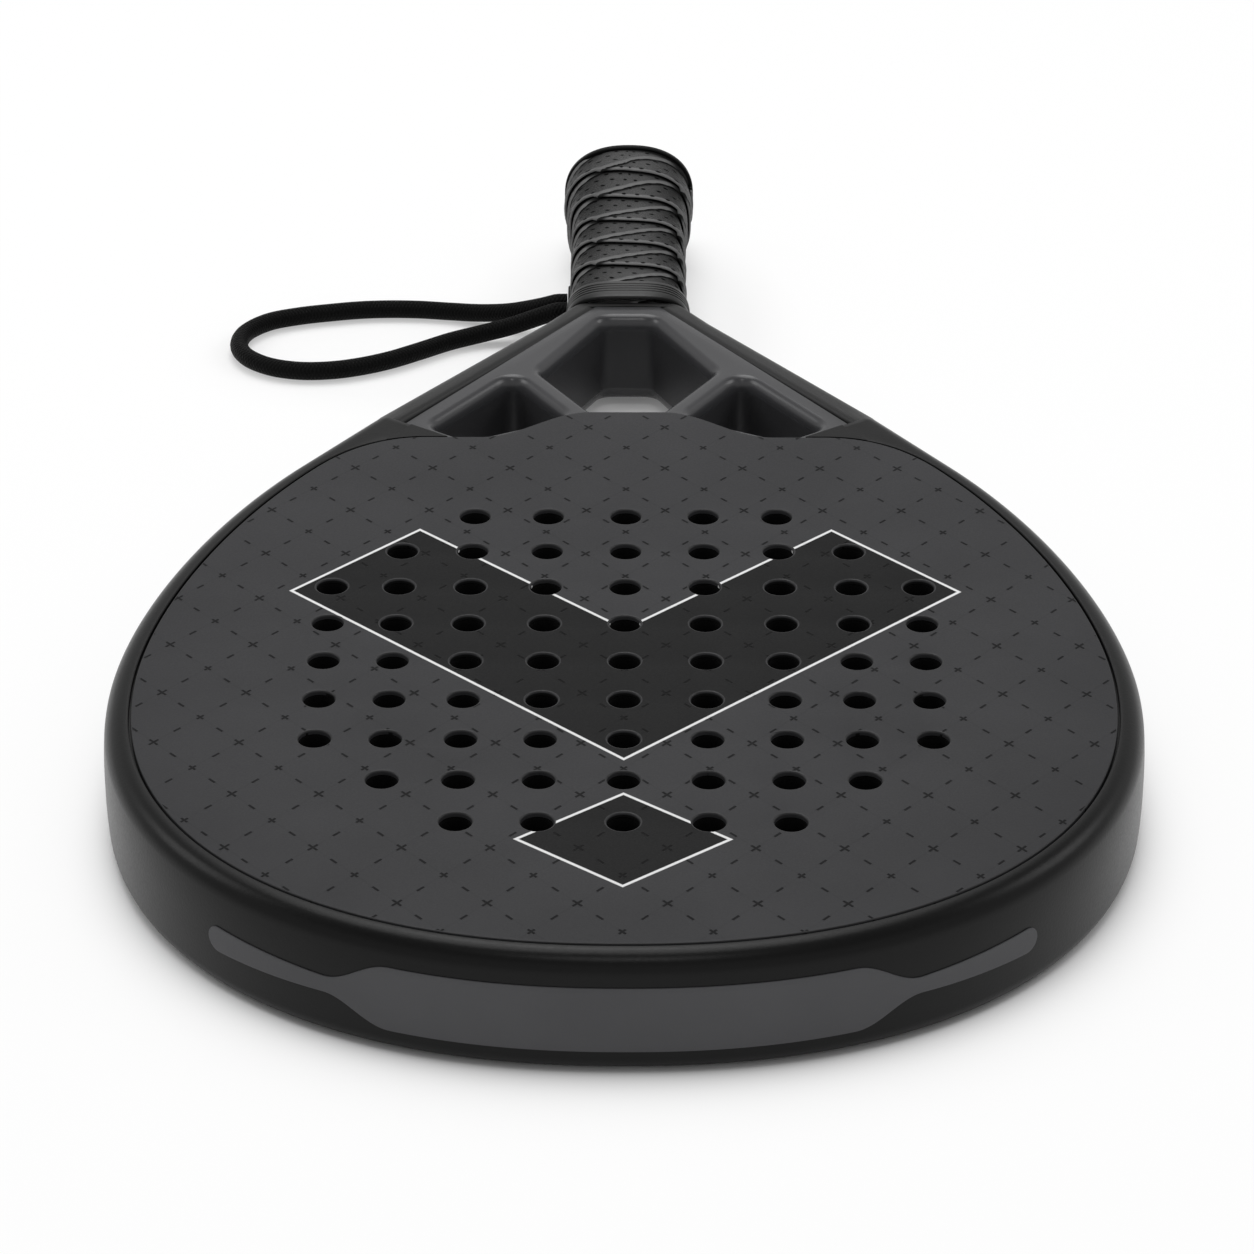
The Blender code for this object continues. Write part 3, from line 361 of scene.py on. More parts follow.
deepShade = grey(0.003)
finishValues = {
    "satinBlack": {"dark": grey(0.0048), "light": grey(0.0064), "rough": (0.28, 0.34),
                   "shine": 0.15, "cloud": 14.0, "speck": 1400.0, "bump": 0.04},
    "armGrey": {"dark": grey(0.019), "light": grey(0.025), "rough": (0.38, 0.46),
                "shine": 0.26, "cloud": 18.0, "speck": 1600.0, "bump": 0.05},
    "throatGrey": {"dark": grey(0.042, 1.06), "light": grey(0.051, 1.06), "rough": (0.26, 0.27),
                   "shine": 0.44, "cloud": 22.0, "speck": 1500.0, "bump": 0.002},
    # darker copy of the throat grey for the window walls: painted shade
    "throatWallShaded": {"dark": grey(0.031, 1.06), "light": grey(0.039, 1.06), "rough": (0.40, 0.46),
                   "shine": 0.30, "cloud": 22.0, "speck": 1500.0, "bump": 0.015},
    "guardFilm": {"dark": grey(0.082, 1.05), "light": grey(0.092, 1.05), "rough": (0.50, 0.60),
                  "shine": 0.18, "cloud": 25.0, "speck": 2200.0, "bump": 0.05},
    # darker copy of the face grey for its rounded edges: painted shade
    "faceEdgeShaded": {"dark": grey(0.022, 1.05), "light": grey(0.028, 1.05), "rough": (0.32, 0.40),
                 "shine": 0.20, "cloud": 40.0, "speck": 2000.0, "bump": 0.04},
    "darkFoam": {"dark": grey(0.0025), "light": grey(0.0045), "rough": (0.80, 0.95),
                 "shine": 0.15, "cloud": 60.0, "speck": 2600.0, "bump": 0.35},
    "paleFoam": {"dark": (0.36, 0.33, 0.27, 1.0), "light": (0.46, 0.43, 0.37, 1.0), "rough": (0.85, 0.98),
                 "shine": 0.2, "cloud": 60.0, "speck": 2400.0, "bump": 0.4},
    "gripRubber": {"dark": grey(0.012), "light": grey(0.016), "rough": (0.55, 0.68),
                   "shine": 0.35, "cloud": 40.0, "speck": 1800.0, "bump": 0.10},
    "collarRubber": {"dark": grey(0.026), "light": grey(0.034), "rough": (0.30, 0.38),
                     "shine": 0.46, "cloud": 40.0, "speck": 1800.0, "bump": 0.08,
                     # painted shade down the collar's sides
                     "paintedSideShade": (0.003, 0.014), "flankShade": 0.75},
    "capPlastic": {"dark": grey(0.004), "light": grey(0.006), "rough": (0.45, 0.55),
                   "shine": 0.08, "cloud": 30.0, "speck": 1800.0, "bump": 0.06},
    "pinSteel": {"dark": grey(0.36), "light": grey(0.46), "rough": (0.28, 0.40),
                 "shine": 0.5, "cloud": 90.0, "speck": 3000.0, "bump": 0.05},
}
finishes = {name: newFinish(name, values)[0] for name, values in finishValues.items()}
finishes["pinSteel"].node_tree.nodes["Principled BSDF"].inputs["Metallic"].default_value = 1.0


# face: grey with recessed marks on a slanted lattice, darkened with painted shade in the recesses, a dark
# band and thin pale lines
faceFinish = {
    "values": {"dark": grey(0.034, 1.06), "light": grey(0.041, 1.06), "rough": (0.52, 0.62),
               "shine": 0.14, "cloud": 26.0, "speck": 1900.0, "bump": 0.06},
    "lattice": (0.0210, 0.0240),
    "latticeY": -0.1905,
    "markHalfWidth": 0.00031,
    "markEdge": (0.6, 1.5),
    "crossArm": 0.115,
    "crossEnd": 0.8,
    "smallCross": 0.74,
    "dashArm": 0.085,
    "dashEnd": 0.75,
    "threadShare": 0.05,
    "markShadeShare": 0.8,
    "markDull": 0.5,
    "markDepth": 0.0003,
    "bump": 0.6,
    "speckShare": 0.05,
    "bandColour": grey(0.0075),
    "bandShare": 0.92,
    "bandDull": 0.35,
    "lineColour": grey(0.80),
    "lineHalf": 0.00042,
    "lineBlur": 0.0001,
    "bandSlope": 44.0,
    "bandWidth": 0.046,
    "bandLowY": -0.106,
    "bandEnd": 0.098,
    "gemY": -0.1745,
    "gemHalf": (0.0255, 0.0205),
}


def latticeMarks(tree, x, y, values):
    # crosses where the slanted lines meet, every other one smaller, with short dashes midway between
    wide, tall = values["lattice"]
    across = ratio(tree, x, wide)
    along = ratio(tree, minus(tree, y, values["latticeY"]), tall)
    lean = (plus(tree, across, along), minus(tree, across, along))
    half = values["markHalfWidth"] * math.hypot(1 / wide, 1 / tall)
    near = [mathNode(tree, "PINGPONG", value, 0.5) for value in lean]    # 0 on a line, 0.5 midway
    count = plus(tree, *[mathNode(tree, "ROUND", value) for value in lean])
    odd = mathNode(tree, "PINGPONG", count, 1.0)
    arm = rampNode(tree, odd, 0.0, 1.0, values["crossArm"] * values["smallCross"], values["crossArm"])
    dashArm = values["dashArm"]
    found = []
    for across, along in (near, near[::-1]):
        thin = fadeOut(tree, across, *[half * share for share in values["markEdge"]])
        cross = fadeOut(tree, ratio(tree, along, arm), values["crossEnd"], 1.0)
        dash = fadeIn(tree, along, 0.5 - dashArm, 0.5 - dashArm * values["dashEnd"])
        shape = larger(tree, larger(tree, cross, dash), values["threadShare"])
        found.append(times(tree, thin, shape))
    return larger(tree, *found)


def bandDistance(tree, x, y, values):
    # negative inside the bent band and the gem shape below it
    slope = math.radians(values["bandSlope"])
    side = unsigned(tree, x)
    rise = minus(tree, y, values["bandLowY"])
    across = minus(tree, times(tree, rise, math.cos(slope)), times(tree, side, math.sin(slope)))
    along = plus(tree, times(tree, side, math.cos(slope)), times(tree, rise, math.sin(slope)))
    edge = minus(tree, unsigned(tree, across), values["bandWidth"] / 2)
    end = minus(tree, along, values["bandEnd"])
    band = larger(tree, edge, end)
    drop = unsigned(tree, minus(tree, y, values["gemY"]))
    wide, tall = values["gemHalf"]
    gem = plus(tree, ratio(tree, side, wide), ratio(tree, drop, tall))
    gem = ratio(tree, minus(tree, gem, 1.0), math.hypot(1 / wide, 1 / tall))
    return smaller(tree, band, gem)


def makeFaceFinish():
    values = faceFinish
    material, tree, shader, colour, grain = newFinish("mouldedFace", values["values"])
    x, y = splitNode(tree, objectCoords(tree))[:2]
    marks = latticeMarks(tree, x, y, values)
    distance = bandDistance(tree, x, y, values)
    lineHalf, blur = values["lineHalf"], values["lineBlur"]
    inBand = rampNode(tree, distance, -blur, blur, 1.0, 0.0)
    onLine = rampNode(tree, unsigned(tree, distance), lineHalf - blur, lineHalf + blur, 1.0, 0.0)
    colour = mixNode(tree, times(tree, inBand, values["bandShare"]), colour, values["bandColour"])
    # painted shade in the recessed marks
    colour = mixNode(tree, times(tree, marks, values["markShadeShare"]), colour, deepShade)
    colour = mixNode(tree, onLine, colour, values["lineColour"])
    feed(tree, shader.inputs["Base Color"], colour)
    dull = larger(tree, times(tree, inBand, values["bandDull"]), times(tree, marks, values["markDull"]))
    shine = values["values"]["shine"]
    feed(tree, shader.inputs["Specular IOR Level"], rampNode(tree, dull, 0.0, 1.0, shine, 0.0))
    height = minus(tree, times(tree, grain.outputs["Speck"], values["speckShare"]), marks)
    feed(tree, shader.inputs["Normal"], bumpNode(tree, height, values["bump"], values["markDepth"]))
    return material


finishes["mouldedFace"] = makeFaceFinish()


# tape: perforated, with creases where the layer under it shows through, painted shade at the foot of each
# step and painted highlights along the edges
tapeFinish = {
    "values": {"dark": grey(0.042), "light": grey(0.062), "rough": (0.30, 0.42),
               "shine": 0.26, "cloud": 70.0, "speck": 1500.0, "bump": 0.10,
               # painted shade down the tape's sides
               "paintedSideShade": (0.002, 0.015), "flankShade": 0.82},
    "holePitch": (0.0038, 0.0042),
    "holeRadius": 0.00064,
    "holeEdge": (0.7, 1.2),
    "holeClear": (0.06, 0.10),
    "holeShade": 0.97,
    "holeDepth": 0.5,
    "paintedStepShade": (0.0047, 0.0068),
    "paintedValleyShade": (0.86, 0.95),
    "footShade": 0.9,
    # painted highlights along the turn's edge and the ridge of the layer below
    "paintedEdgeHighlight": (0.0185, 0.0194),
    "paintedRidgeHighlight": (0.03, 0.08),
    "paintedHighlightColour": grey(0.30),
    "paintedHighlightShare": 0.5,
    "wrinkle": 300.0,
    "wrinkleDepth": 0.4,
    "speckShare": 0.05,
    "bump": 0.6,
    "depth": 0.0009,
}


def makeTapeFinish():
    values = tapeFinish
    material, tree, shader, colour, grain = newFinish("perforatedTape", values["values"])
    strip = tree.nodes.new("ShaderNodeAttribute")
    strip.attribute_name = "tapeFrame"
    along, across, layers = splitNode(tree, strip.outputs["Vector"])
    under = mathNode(tree, "FRACT", layers)
    shine = shader.inputs["Specular IOR Level"].links[0].from_socket
    holePitch, rowPitch = values["holePitch"]
    row = mathNode(tree, "FLOOR", ratio(tree, across, rowPitch))
    shift = times(tree, row, holePitch / 2)    # every other row stands half a pitch along
    aside = mathNode(tree, "PINGPONG", plus(tree, along, shift), holePitch / 2)
    above = mathNode(tree, "PINGPONG", plus(tree, across, rowPitch / 2), rowPitch / 2)
    away = mathNode(tree, "SQRT", plus(tree, times(tree, aside, aside), times(tree, above, above)))
    edge = [values["holeRadius"] * share for share in values["holeEdge"]]
    holes = fadeOut(tree, away, *edge)
    holes = times(tree, holes, rampNode(tree, under, *values["holeClear"], 0.0, 1.0))
    paintedStepShade = fadeOut(tree, across, *values["paintedStepShade"])    # painted shade at the foot of the next turn's edge
    paintedValleyShade = fadeIn(tree, under, *values["paintedValleyShade"])    # painted shade at the foot of the layer below
    shade = larger(tree, paintedStepShade, paintedValleyShade)
    # painted highlights where the edges catch light
    paintedEdgeHighlight = fadeIn(tree, across, *values["paintedEdgeHighlight"])
    paintedRidgeHighlight = fadeOut(tree, under, *values["paintedRidgeHighlight"])
    bright = larger(tree, paintedEdgeHighlight, paintedRidgeHighlight)
    colour = mixNode(tree, times(tree, bright, values["paintedHighlightShare"]), colour, values["paintedHighlightColour"])
    # painted shade at the step feet, and the dark perforations, both less shiny
    dull = larger(tree, times(tree, shade, values["footShade"]), times(tree, holes, values["holeShade"]))
    colour = mixNode(tree, dull, colour, deepShade)
    feed(tree, shader.inputs["Specular IOR Level"], rampNode(tree, dull, 0.0, 1.0, shine, 0.0))
    feed(tree, shader.inputs["Base Color"], colour)
    wrinkle = noiseNode(tree, strip.outputs["Vector"], values["wrinkle"])
    wrinkle = times(tree, wrinkle, values["wrinkleDepth"])
    height = minus(tree, wrinkle, times(tree, holes, values["holeDepth"]))
    height = plus(tree, height, times(tree, grain.outputs["Speck"], values["speckShare"]))
    feed(tree, shader.inputs["Normal"], bumpNode(tree, height, values["bump"], values["depth"]))
    return material


finishes["perforatedTape"] = makeTapeFinish()


# cord: tight round braid
cordFinish = {
    "values": {"dark": grey(0.0008), "light": grey(0.0030), "rough": (0.46, 0.62),
               "shine": 0.08, "cloud": 90.0, "speck": 2400.0, "bump": 0.2},
    "strands": 8.0,
    "lay": 0.0085,
    "speckShare": 0.3,
    "bump": 0.7,
    "depth": 0.00028,
}


def makeCordFinish():
    values = cordFinish
    coat = values["values"]
    material, tree, shader, _, grain = newFinish("blackBraid", coat)    # the weave makes its own colour
    route = tree.nodes.new("ShaderNodeAttribute")
    route.attribute_name = "cordFrame"
    across, up, along = splitNode(tree, route.outputs["Vector"])
    turn = ratio(tree, mathNode(tree, "ARCTAN2", up, across), 2 * math.pi)
    turns = times(tree, turn, values["strands"])
    run = ratio(tree, along, values["lay"] / values["strands"])
    waves = []
    for join in (plus, minus):
        lean = join(tree, run, turns)
        waves.append(mathNode(tree, "SINE", times(tree, lean, math.pi)))
    weave = unsigned(tree, times(tree, *waves))
    feed(tree, shader.inputs["Base Color"], mixNode(tree, weave, coat["dark"], coat["light"]))
    height = plus(tree, weave, times(tree, grain.outputs["Speck"], values["speckShare"]))
    feed(tree, shader.inputs["Normal"], bumpNode(tree, height, values["bump"], values["depth"]))
    return material


finishes["blackBraid"] = makeCordFinish()
print("finishes ready:", len(finishes))


# mesh building
meshing = {"merge": 1e-7, "join": 1e-6, "level": 0.999, "sharp": 38, "softSharp": 60}


def shares(steps):
    return [step / steps for step in range(steps + 1)]


def bounded(value):
    return min(max(value, 0.0), 1.0)


def easeDown(share):
    # from 1 to 0, level at both ends
    return (1 + math.cos(math.pi * share)) / 2


def bend(start, corner, end, steps):
    # points of a curve that starts and ends along the two sides of a corner
    return [start.lerp(corner, share).lerp(corner.lerp(end, share), share) for share in shares(steps)]


def runLengths(places):
    # length of the way so far at each place
    lengths = [0.0]
    for before, after in zip(places, places[1:]):
        lengths.append(lengths[-1] + (after - before).length)
    return lengths


def startLoop(bm, places):
    loop = [bm.verts.new(place) for place in places]
    for here, there in zip(loop, loop[1:] + loop[:1]):
        bm.edges.new((here, there))
    return loop


def loopEdges(bm, loop):
    return [bm.edges.get(pair) for pair in zip(loop, loop[1:] + loop[:1])]


def growLoop(bm, loop, places):
    made = bmesh.ops.extrude_edge_only(bm, edges=loopEdges(bm, loop))["geom"]
    fresh = {part for part in made if isinstance(part, bmesh.types.BMVert)}
    grown = []
    for vert, place in zip(loop, places):
        ends = [edge.other_vert(vert) for edge in vert.link_edges]
        twin = next(end for end in ends if end in fresh)
        twin.co = place
        grown.append(twin)
    return grown


def sweep(bm, rings, capped=True):
    loops = [startLoop(bm, rings[0])]
    for places in rings[1:]:
        loops.append(growLoop(bm, loops[-1], places))
    if capped:
        for end in (loops[0], loops[-1]):
            bmesh.ops.edgeloop_fill(bm, edges=loopEdges(bm, end))
    return loops


def fillPlate(bm, loops, up=1.0):
    edges = [edge for loop in loops for edge in loopEdges(bm, loop)]
    bmesh.ops.triangle_fill(bm, edges=edges, use_beauty=True, normal=(0.0, 0.0, up))


def quarter(steps):
    # sine and one minus cosine round a quarter turn, start left out
    for step in range(1, steps + 1):
        angle = math.pi / 2 * step / steps
        yield math.sin(angle), 1 - math.cos(angle)


def makePiece(bm, name, finishNames, stands, body="racket", sharp=meshing["sharp"], flatTops=False):
    bmesh.ops.remove_doubles(bm, verts=bm.verts, dist=meshing["merge"])
    bmesh.ops.recalc_face_normals(bm, faces=bm.faces)
    for face in bm.faces:
        face.smooth = not (flatTops and abs(face.normal.z) > meshing["level"])
    mesh = bpy.data.meshes.new(name)
    bm.to_mesh(mesh)
    bm.free()
    mesh.set_sharp_from_angle(angle=math.radians(sharp))
    for finish in finishNames:
        mesh.materials.append(finishes[finish])
    piece = addItem(name, mesh)
    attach(piece, body)
    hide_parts(*stands)
    print("made", name, len(mesh.polygons), "faces")
    return piece


# outline of the racket seen from above: the right half, then mirrored

def atLevel(point, along, y):
    # where a slanted line through a point comes to a level
    return point + along * ((y - point.y) / along.y)


def sidePoint(share):
    widest = Vector((plan["halfWidth"], plan["widestY"]))
    shoulder = plan["shoulder"]
    corner = shoulder + armAlong * ((widest.x - shoulder.x) / armAlong.x)
    first = shoulder.lerp(corner, plan["sideFullness"])
    second = widest.lerp(corner, plan["sideFullness"])
    rest = 1 - share
    return (shoulder * rest ** 3 + first * 3 * rest ** 2 * share
            + second * 3 * rest * share ** 2 + widest * share ** 3)


def tipPoint(angle):
    power = 2 / plan["tipFullness"]
    across = plan["halfWidth"] * math.cos(angle) ** power if angle < math.pi / 2 else 0.0
    return Vector((across, plan["widestY"] - plan["tipReach"] * math.sin(angle) ** power))


def outerEdge(sideSteps=44, tipSteps=72):
    points = [sidePoint(share) for share in shares(sideSteps)[:-1]]
    points += [tipPoint(math.pi / 2 * share) for share in shares(tipSteps)]
    edge = []
    for index, point in enumerate(points):
        before = points[max(index - 1, 0)]
        after = points[min(index + 1, len(points) - 1)]
        along = (after - before).normalized()
        edge.append((point, Vector((along.y, -along.x))))
    edge[0] = (points[0], armInward)
    edge[-1] = (points[-1], Vector((0.0, 1.0)))
    return edge


def crownLine(across):
    share = bounded((abs(across) - plan["crownFlat"]) / (plan["crownFoot"] - plan["crownFlat"]))
    return plan["crownY"] + plan["crownRise"] * easeDown(share)


def crownEdge(setback, drop, steps=36, easeSteps=20):
    level = plan["crownY"] - drop
    start = plan["shoulder"] + armInward * setback
    corner = atLevel(start, armAlong, level)
    eased = Vector((corner.x - plan["crownEase"], level))
    places = [plan["crownFoot"] * share for share in shares(steps)]
    points = [Vector((across, crownLine(across) - drop)) for across in places]
    return points + bend(eased, corner, start, easeSteps)


def leftSide(points):
    return [Vector((-point.x, point.y)) for point in reversed(points)]


def wholeOutline(half):
    return half + leftSide(half[1:-1])


def headOutline(setback, drop):
    sides = [point + inward * setback for point, inward in outerEdge()]
    return wholeOutline(crownEdge(setback, drop) + sides[1:])


def armEdge(setback, y):
    return atLevel(plan["neck"] + armInward * setback, armAlong, y)


def stepPoint(lift=0.0):
    return plan["shoulder"] - armAlong * (plan["stepRise"] + lift)


def atHeight(points, z):
    return [Vector((point.x, point.y, z)) for point in points]


def flipped(places):
    return [Vector((-place.x, place.y, place.z)) for place in places]


# frame: one tube round the head and down both arms of the throat
frameForm = {
    "width": 0.013,
    "round": (0.0048, 0.0050),
    "fullness": 2.1,
    "belly": 0.0010,
    "bellyBend": 2.5,
    "lip": (0.0004, 0.0004),
    "flushLip": (0.00001, 0.00001),
    "lipRoom": 1.2,
    "groove": 0.0066,
    "pocketDrop": 0.0015,
    "armWidth": 0.0085,
    "armHeight": 0.0311,
    "armRound": (0.0058, 0.0074),
    "armLip": (0.0024, 0.0016),
    "armFullness": (2.0, 2.7),
    "neckHeight": 0.0262,
    "neckBlend": 0.1,
    "hubLength": 0.0016,
    "legEndY": 0.1475,
    "legStartY": 0.1218,
    "legReach": 0.0115,
    "legWidth": 0.0085,
    "legHeight": 0.0134,
    "legRound": (0.003, 0.003),
    "legFullness": 2.0,
    "wallSteps": 5,
    "armSteps": 10,
    "wedgeSteps": 22,
}


def bellyDepth(up):
    # the outer wall stands out most halfway up
    return frameForm["belly"] * (abs(up) / midZ) ** frameForm["bellyBend"]


def tubeRing(origin, inward, size, rounding, fullness, lip, wall=None, bulges=False, steps=14, lipSteps=4):
    width, height = size
    half = height / 2
    floor = half - max(frameForm["pocketDrop"], lip[1] * frameForm["lipRoom"])
    edge = wall or width
    power = 2 / fullness
    upper = [(0.0, (half - rounding[1]) * share) for share in shares(frameForm["wallSteps"])[1:]]
    for sine, rest in quarter(steps):
        upper.append((rounding[0] * (1 - (1 - rest) ** power), half - rounding[1] * (1 - sine ** power)))
    if bulges:
        upper = [(depth + bellyDepth(up), up) for depth, up in upper]
    upper.append((edge - lip[0], half))
    for sine, rest in quarter(lipSteps):
        upper.append((edge - lip[0] * (1 - sine), half - lip[1] * rest))
    upper.append((edge, floor))
    upper.append((width, floor if wall else floor - frameForm["pocketDrop"]))
    profile = [(depth, -up) for depth, up in reversed(upper)] + upper
    return [Vector((*(origin + inward * depth), midZ + up)) for depth, up in profile]


def pocketPlace(back):
    # depth of the face's pocket at a distance back from the shoulder: it turns in to follow the crown
    form = frameForm
    start = plan["shoulder"] + armInward * form["groove"]
    corner = atLevel(start, armAlong, plan["crownY"])
    reach = (start - corner).length
    ease = Vector((-plan["crownEase"], 0.0))
    turnIn = reach + ease.dot(armAlong)
    share = (reach - math.sqrt(max(reach ** 2 - turnIn * back, 0.0))) / turnIn
    depth = form["groove"] + ease.dot(armInward) * share ** 2
    return depth if depth < form["width"] else None


def frameRings():
    form = frameForm
    across = Vector((-1.0, 0.0))
    neck = plan["neck"]

    def leg(y):
        size = (form["legWidth"], form["legHeight"])
        origin = Vector((form["legReach"], y))
        return tubeRing(origin, across, size, form["legRound"], form["legFullness"], form["lip"])

    def arm(origin, inward, width, share, lip=form["armLip"]):
        height = form["neckHeight"] + (form["armHeight"] - form["neckHeight"]) * share
        slim, full = form["armFullness"]
        fullness = slim + (full - slim) * share
        return tubeRing(origin, inward, (width, height), form["armRound"], fullness, lip)

    def head(origin, inward, wall):
        lip = form["lip"] if wall else form["flushLip"]
        size = (form["width"], plan["thickness"])
        return tubeRing(origin, inward, size, form["round"], form["fullness"], lip, wall, bulges=True)

    hubY = neck.y - form["hubLength"]
    start = armEdge(0.0, hubY - seam)
    cutWidth = form["armWidth"] / -armInward.x
    rings = [leg(form["legEndY"]), leg(form["legStartY"]), arm(neck, across, neck.x, 0.0, form["flushLip"])]
    rings.append(arm(Vector((start.x, hubY)), across, start.x, 0.0, form["flushLip"]))
    rings.append(arm(start, across, cutWidth, 0.0))
    first = start + armAlong * cutWidth
    last = stepPoint(plan["stepLength"] / 2)
    for share in shares(form["armSteps"]):
        blend = form["neckBlend"] + (1 - form["neckBlend"]) * share
        rings.append(arm(first.lerp(last, share), armInward, form["armWidth"], blend))
    low = plan["stepRise"] - plan["stepLength"] / 2
    for share in shares(form["wedgeSteps"])[:-1]:
        back = low * (1 - share)
        rings.append(head(plan["shoulder"] - armAlong * back, armInward, pocketPlace(back)))
    rings += [head(point, inward, form["groove"]) for point, inward in outerEdge()]
    return rings + [flipped(ring) for ring in reversed(rings[:-1])]


def buildFrame():
    bm = bmesh.new()
    sweep(bm, frameRings())
    edge = stepPoint()
    for face in bm.faces:
        centre = face.calc_center_median()
        behind = (Vector((abs(centre.x), centre.y)) - edge).dot(-armAlong)
        face.material_index = 1 if behind > 0.0 else 0
    makePiece(bm, "headFrame", ["satinBlack", "armGrey"], ["frame_tube"])


def buildWedges():
    # closes the head between the frame, the face's shoulder and the arm's end
    depth = frameForm["width"]
    start = stepPoint() + armInward * depth
    tip = atLevel(start, armInward, plan["crownY"] + seam)
    outline = [start, tip]
    for point in crownEdge(frameForm["groove"], -seam):
        inside = (point - plan["shoulder"]).dot(armInward) > depth
        if inside and point.x > tip.x + seam:
            outline.append(point)
    outline.append(armEdge(depth, outline[-1].y - seam))
    for hand, side in (("left", -1), ("right", 1)):
        bm = bmesh.new()
        points = [Vector((side * point.x, point.y)) for point in outline]
        loop = startLoop(bm, atHeight(points, plan["thickness"]))
        fillPlate(bm, [loop])
        fillPlate(bm, [growLoop(bm, loop, atHeight(points, 0.0))], -1.0)
        makePiece(bm, "shoulderWedge_" + hand, ["satinBlack"], ["shoulder_filler_" + hand])


# faces: moulded skins with round-edged holes
faceForm = {
    "setback": 0.00715,
    "skin": 0.0012,
    "edgeRound": 0.00035,
    "holeRadius": 0.0040,
    "holeRound": 0.00055,
    "holeSides": 28,
    "edgeSteps": 3,
    "holeSteps": 4,
    "edgeNormals": (0.1, 0.99),
    "rows": (5, 7, 9, 9, 9, 9, 9, 7, 5),
    "rowPitch": 0.0191,
    "rowsUp": 0.0137,
    "columnPitch": 0.0206,
    "columnLoss": 0.00105,
}


def holeCentres():
    form = faceForm
    middle = (len(form["rows"]) - 1) / 2
    for row, count in enumerate(form["rows"]):
        y = plan["widestY"] + form["rowsUp"] + (middle - row) * form["rowPitch"]
        for column in range(-(count // 2), count // 2 + 1):
            steps = abs(column)
            reach = steps * form["columnPitch"] - form["columnLoss"] * steps * (steps - 1) / 2
            yield Vector((math.copysign(reach, column), y))


def circlePlaces(centre, radius, z):
    count = faceForm["holeSides"]
    angles = [2 * math.pi * index / count for index in range(count)]
    return [Vector((centre.x + radius * math.cos(a), centre.y + radius * math.sin(a), z)) for a in angles]


def buildFace(name, node, turnedOver):
    form = faceForm
    top = plan["thickness"]
    edgeRound, holeRound, radius = form["edgeRound"], form["holeRound"], form["holeRadius"]
    bm = bmesh.new()
    rim = startLoop(bm, atHeight(headOutline(form["setback"] + edgeRound, edgeRound), top))
    centres = list(holeCentres())
    holes = [startLoop(bm, circlePlaces(centre, radius + holeRound, top)) for centre in centres]
    fillPlate(bm, [rim] + holes)
    for sine, rest in quarter(form["edgeSteps"]):
        inset = edgeRound * (1 - sine)
        outline = headOutline(form["setback"] + inset, inset)
        rim = growLoop(bm, rim, atHeight(outline, top - edgeRound * rest))
    base = top - form["skin"]
    ends = [growLoop(bm, rim, atHeight(headOutline(form["setback"], 0.0), base))]
    for centre, loop in zip(centres, holes):
        for sine, rest in quarter(form["holeSteps"]):
            wide = radius + holeRound * (1 - sine)
            loop = growLoop(bm, loop, circlePlaces(centre, wide, top - holeRound * rest))
        ends.append(growLoop(bm, loop, circlePlaces(centre, radius, base)))
    fillPlate(bm, ends, -1.0)
    if turnedOver:
        about = Matrix.Translation((0.0, 0.0, midZ))
        flip = about @ Matrix.Scale(-1.0, 4, (0.0, 0.0, 1.0)) @ about.inverted()
        bmesh.ops.transform(bm, matrix=flip, verts=bm.verts)
    bmesh.ops.recalc_face_normals(bm, faces=bm.faces)
    low, high = form["edgeNormals"]
    for face in bm.faces:
        face.material_index = 1 if low < abs(face.normal.z) < high else 0    # the rounded edges shine more and are darker, a painted shade
    makePiece(bm, name, ["mouldedFace", "faceEdgeShaded"], [node], flatTops=True)


def buildCore():
    bm = bmesh.new()
    lift = frameForm["pocketDrop"]
    top, base = plan["thickness"] - lift, lift
    outline = headOutline(frameForm["width"] + seam, seam)
    radius = faceForm["holeRadius"]
    loops = [startLoop(bm, atHeight(outline, top))]
    loops += [startLoop(bm, circlePlaces(centre, radius, top)) for centre in holeCentres()]
    fillPlate(bm, loops)
    ends = [growLoop(bm, loops[0], atHeight(outline, base))]
    for centre, loop in zip(holeCentres(), loops[1:]):
        ends.append(growLoop(bm, loop, circlePlaces(centre, radius, base)))
    fillPlate(bm, ends, -1.0)
    makePiece(bm, "foamCore", ["darkFoam"], ["foam_core"], flatTops=True)


# throat bridge: satin insert with three windows
bridgeForm = {
    "footHeight": 0.0142,
    "neckHeight": 0.0134,
    "topY": 0.1187,
    "foot": 0.0045,
    "edgeRound": 0.0005,
    "windowRound": (0.0029, 0.0042),
    "corner": 0.0045,
    "topHalf": 0.007,
    "topMargin": 0.0075,
    "waistHalf": 0.0245,
    "waistShare": 0.427,
    "footHalf": 0.009,
    "strut": 0.0078,
    "sideRim": 0.0065,
    "crownSteps": 40,
    "edgeSteps": 3,
    "windowSteps": 8,
    "wallNormal": 0.05,
}


def roundedCorners(points, radius, steps=9):
    result = []
    for index, corner in enumerate(points):
        before = points[index - 1] - corner
        after = points[(index + 1) % len(points)] - corner
        reach = min(radius / math.tan(before.angle(after) / 2), before.length / 2, after.length / 2)
        start = corner + before.normalized() * reach
        end = corner + after.normalized() * reach
        result += bend(start, corner, end, steps)
    return result


def spread(points, distance, leastTurn=0.2):
    # outline moved outwards by a distance, or inwards where it is negative
    area = sum(a.x * b.y - b.x * a.y for a, b in zip(points, points[1:] + points[:1]))
    turn = 1.0 if area > 0 else -1.0
    moved = []
    for index, point in enumerate(points):
        before = (point - points[index - 1]).normalized()
        after = (points[(index + 1) % len(points)] - point).normalized()
        normals = [Vector((along.y, -along.x)) * turn for along in (before, after)]
        turnShare = max(1 + normals[0].dot(normals[1]), leastTurn)
        moved.append(point + (normals[0] + normals[1]) * (distance / turnShare))
    return moved


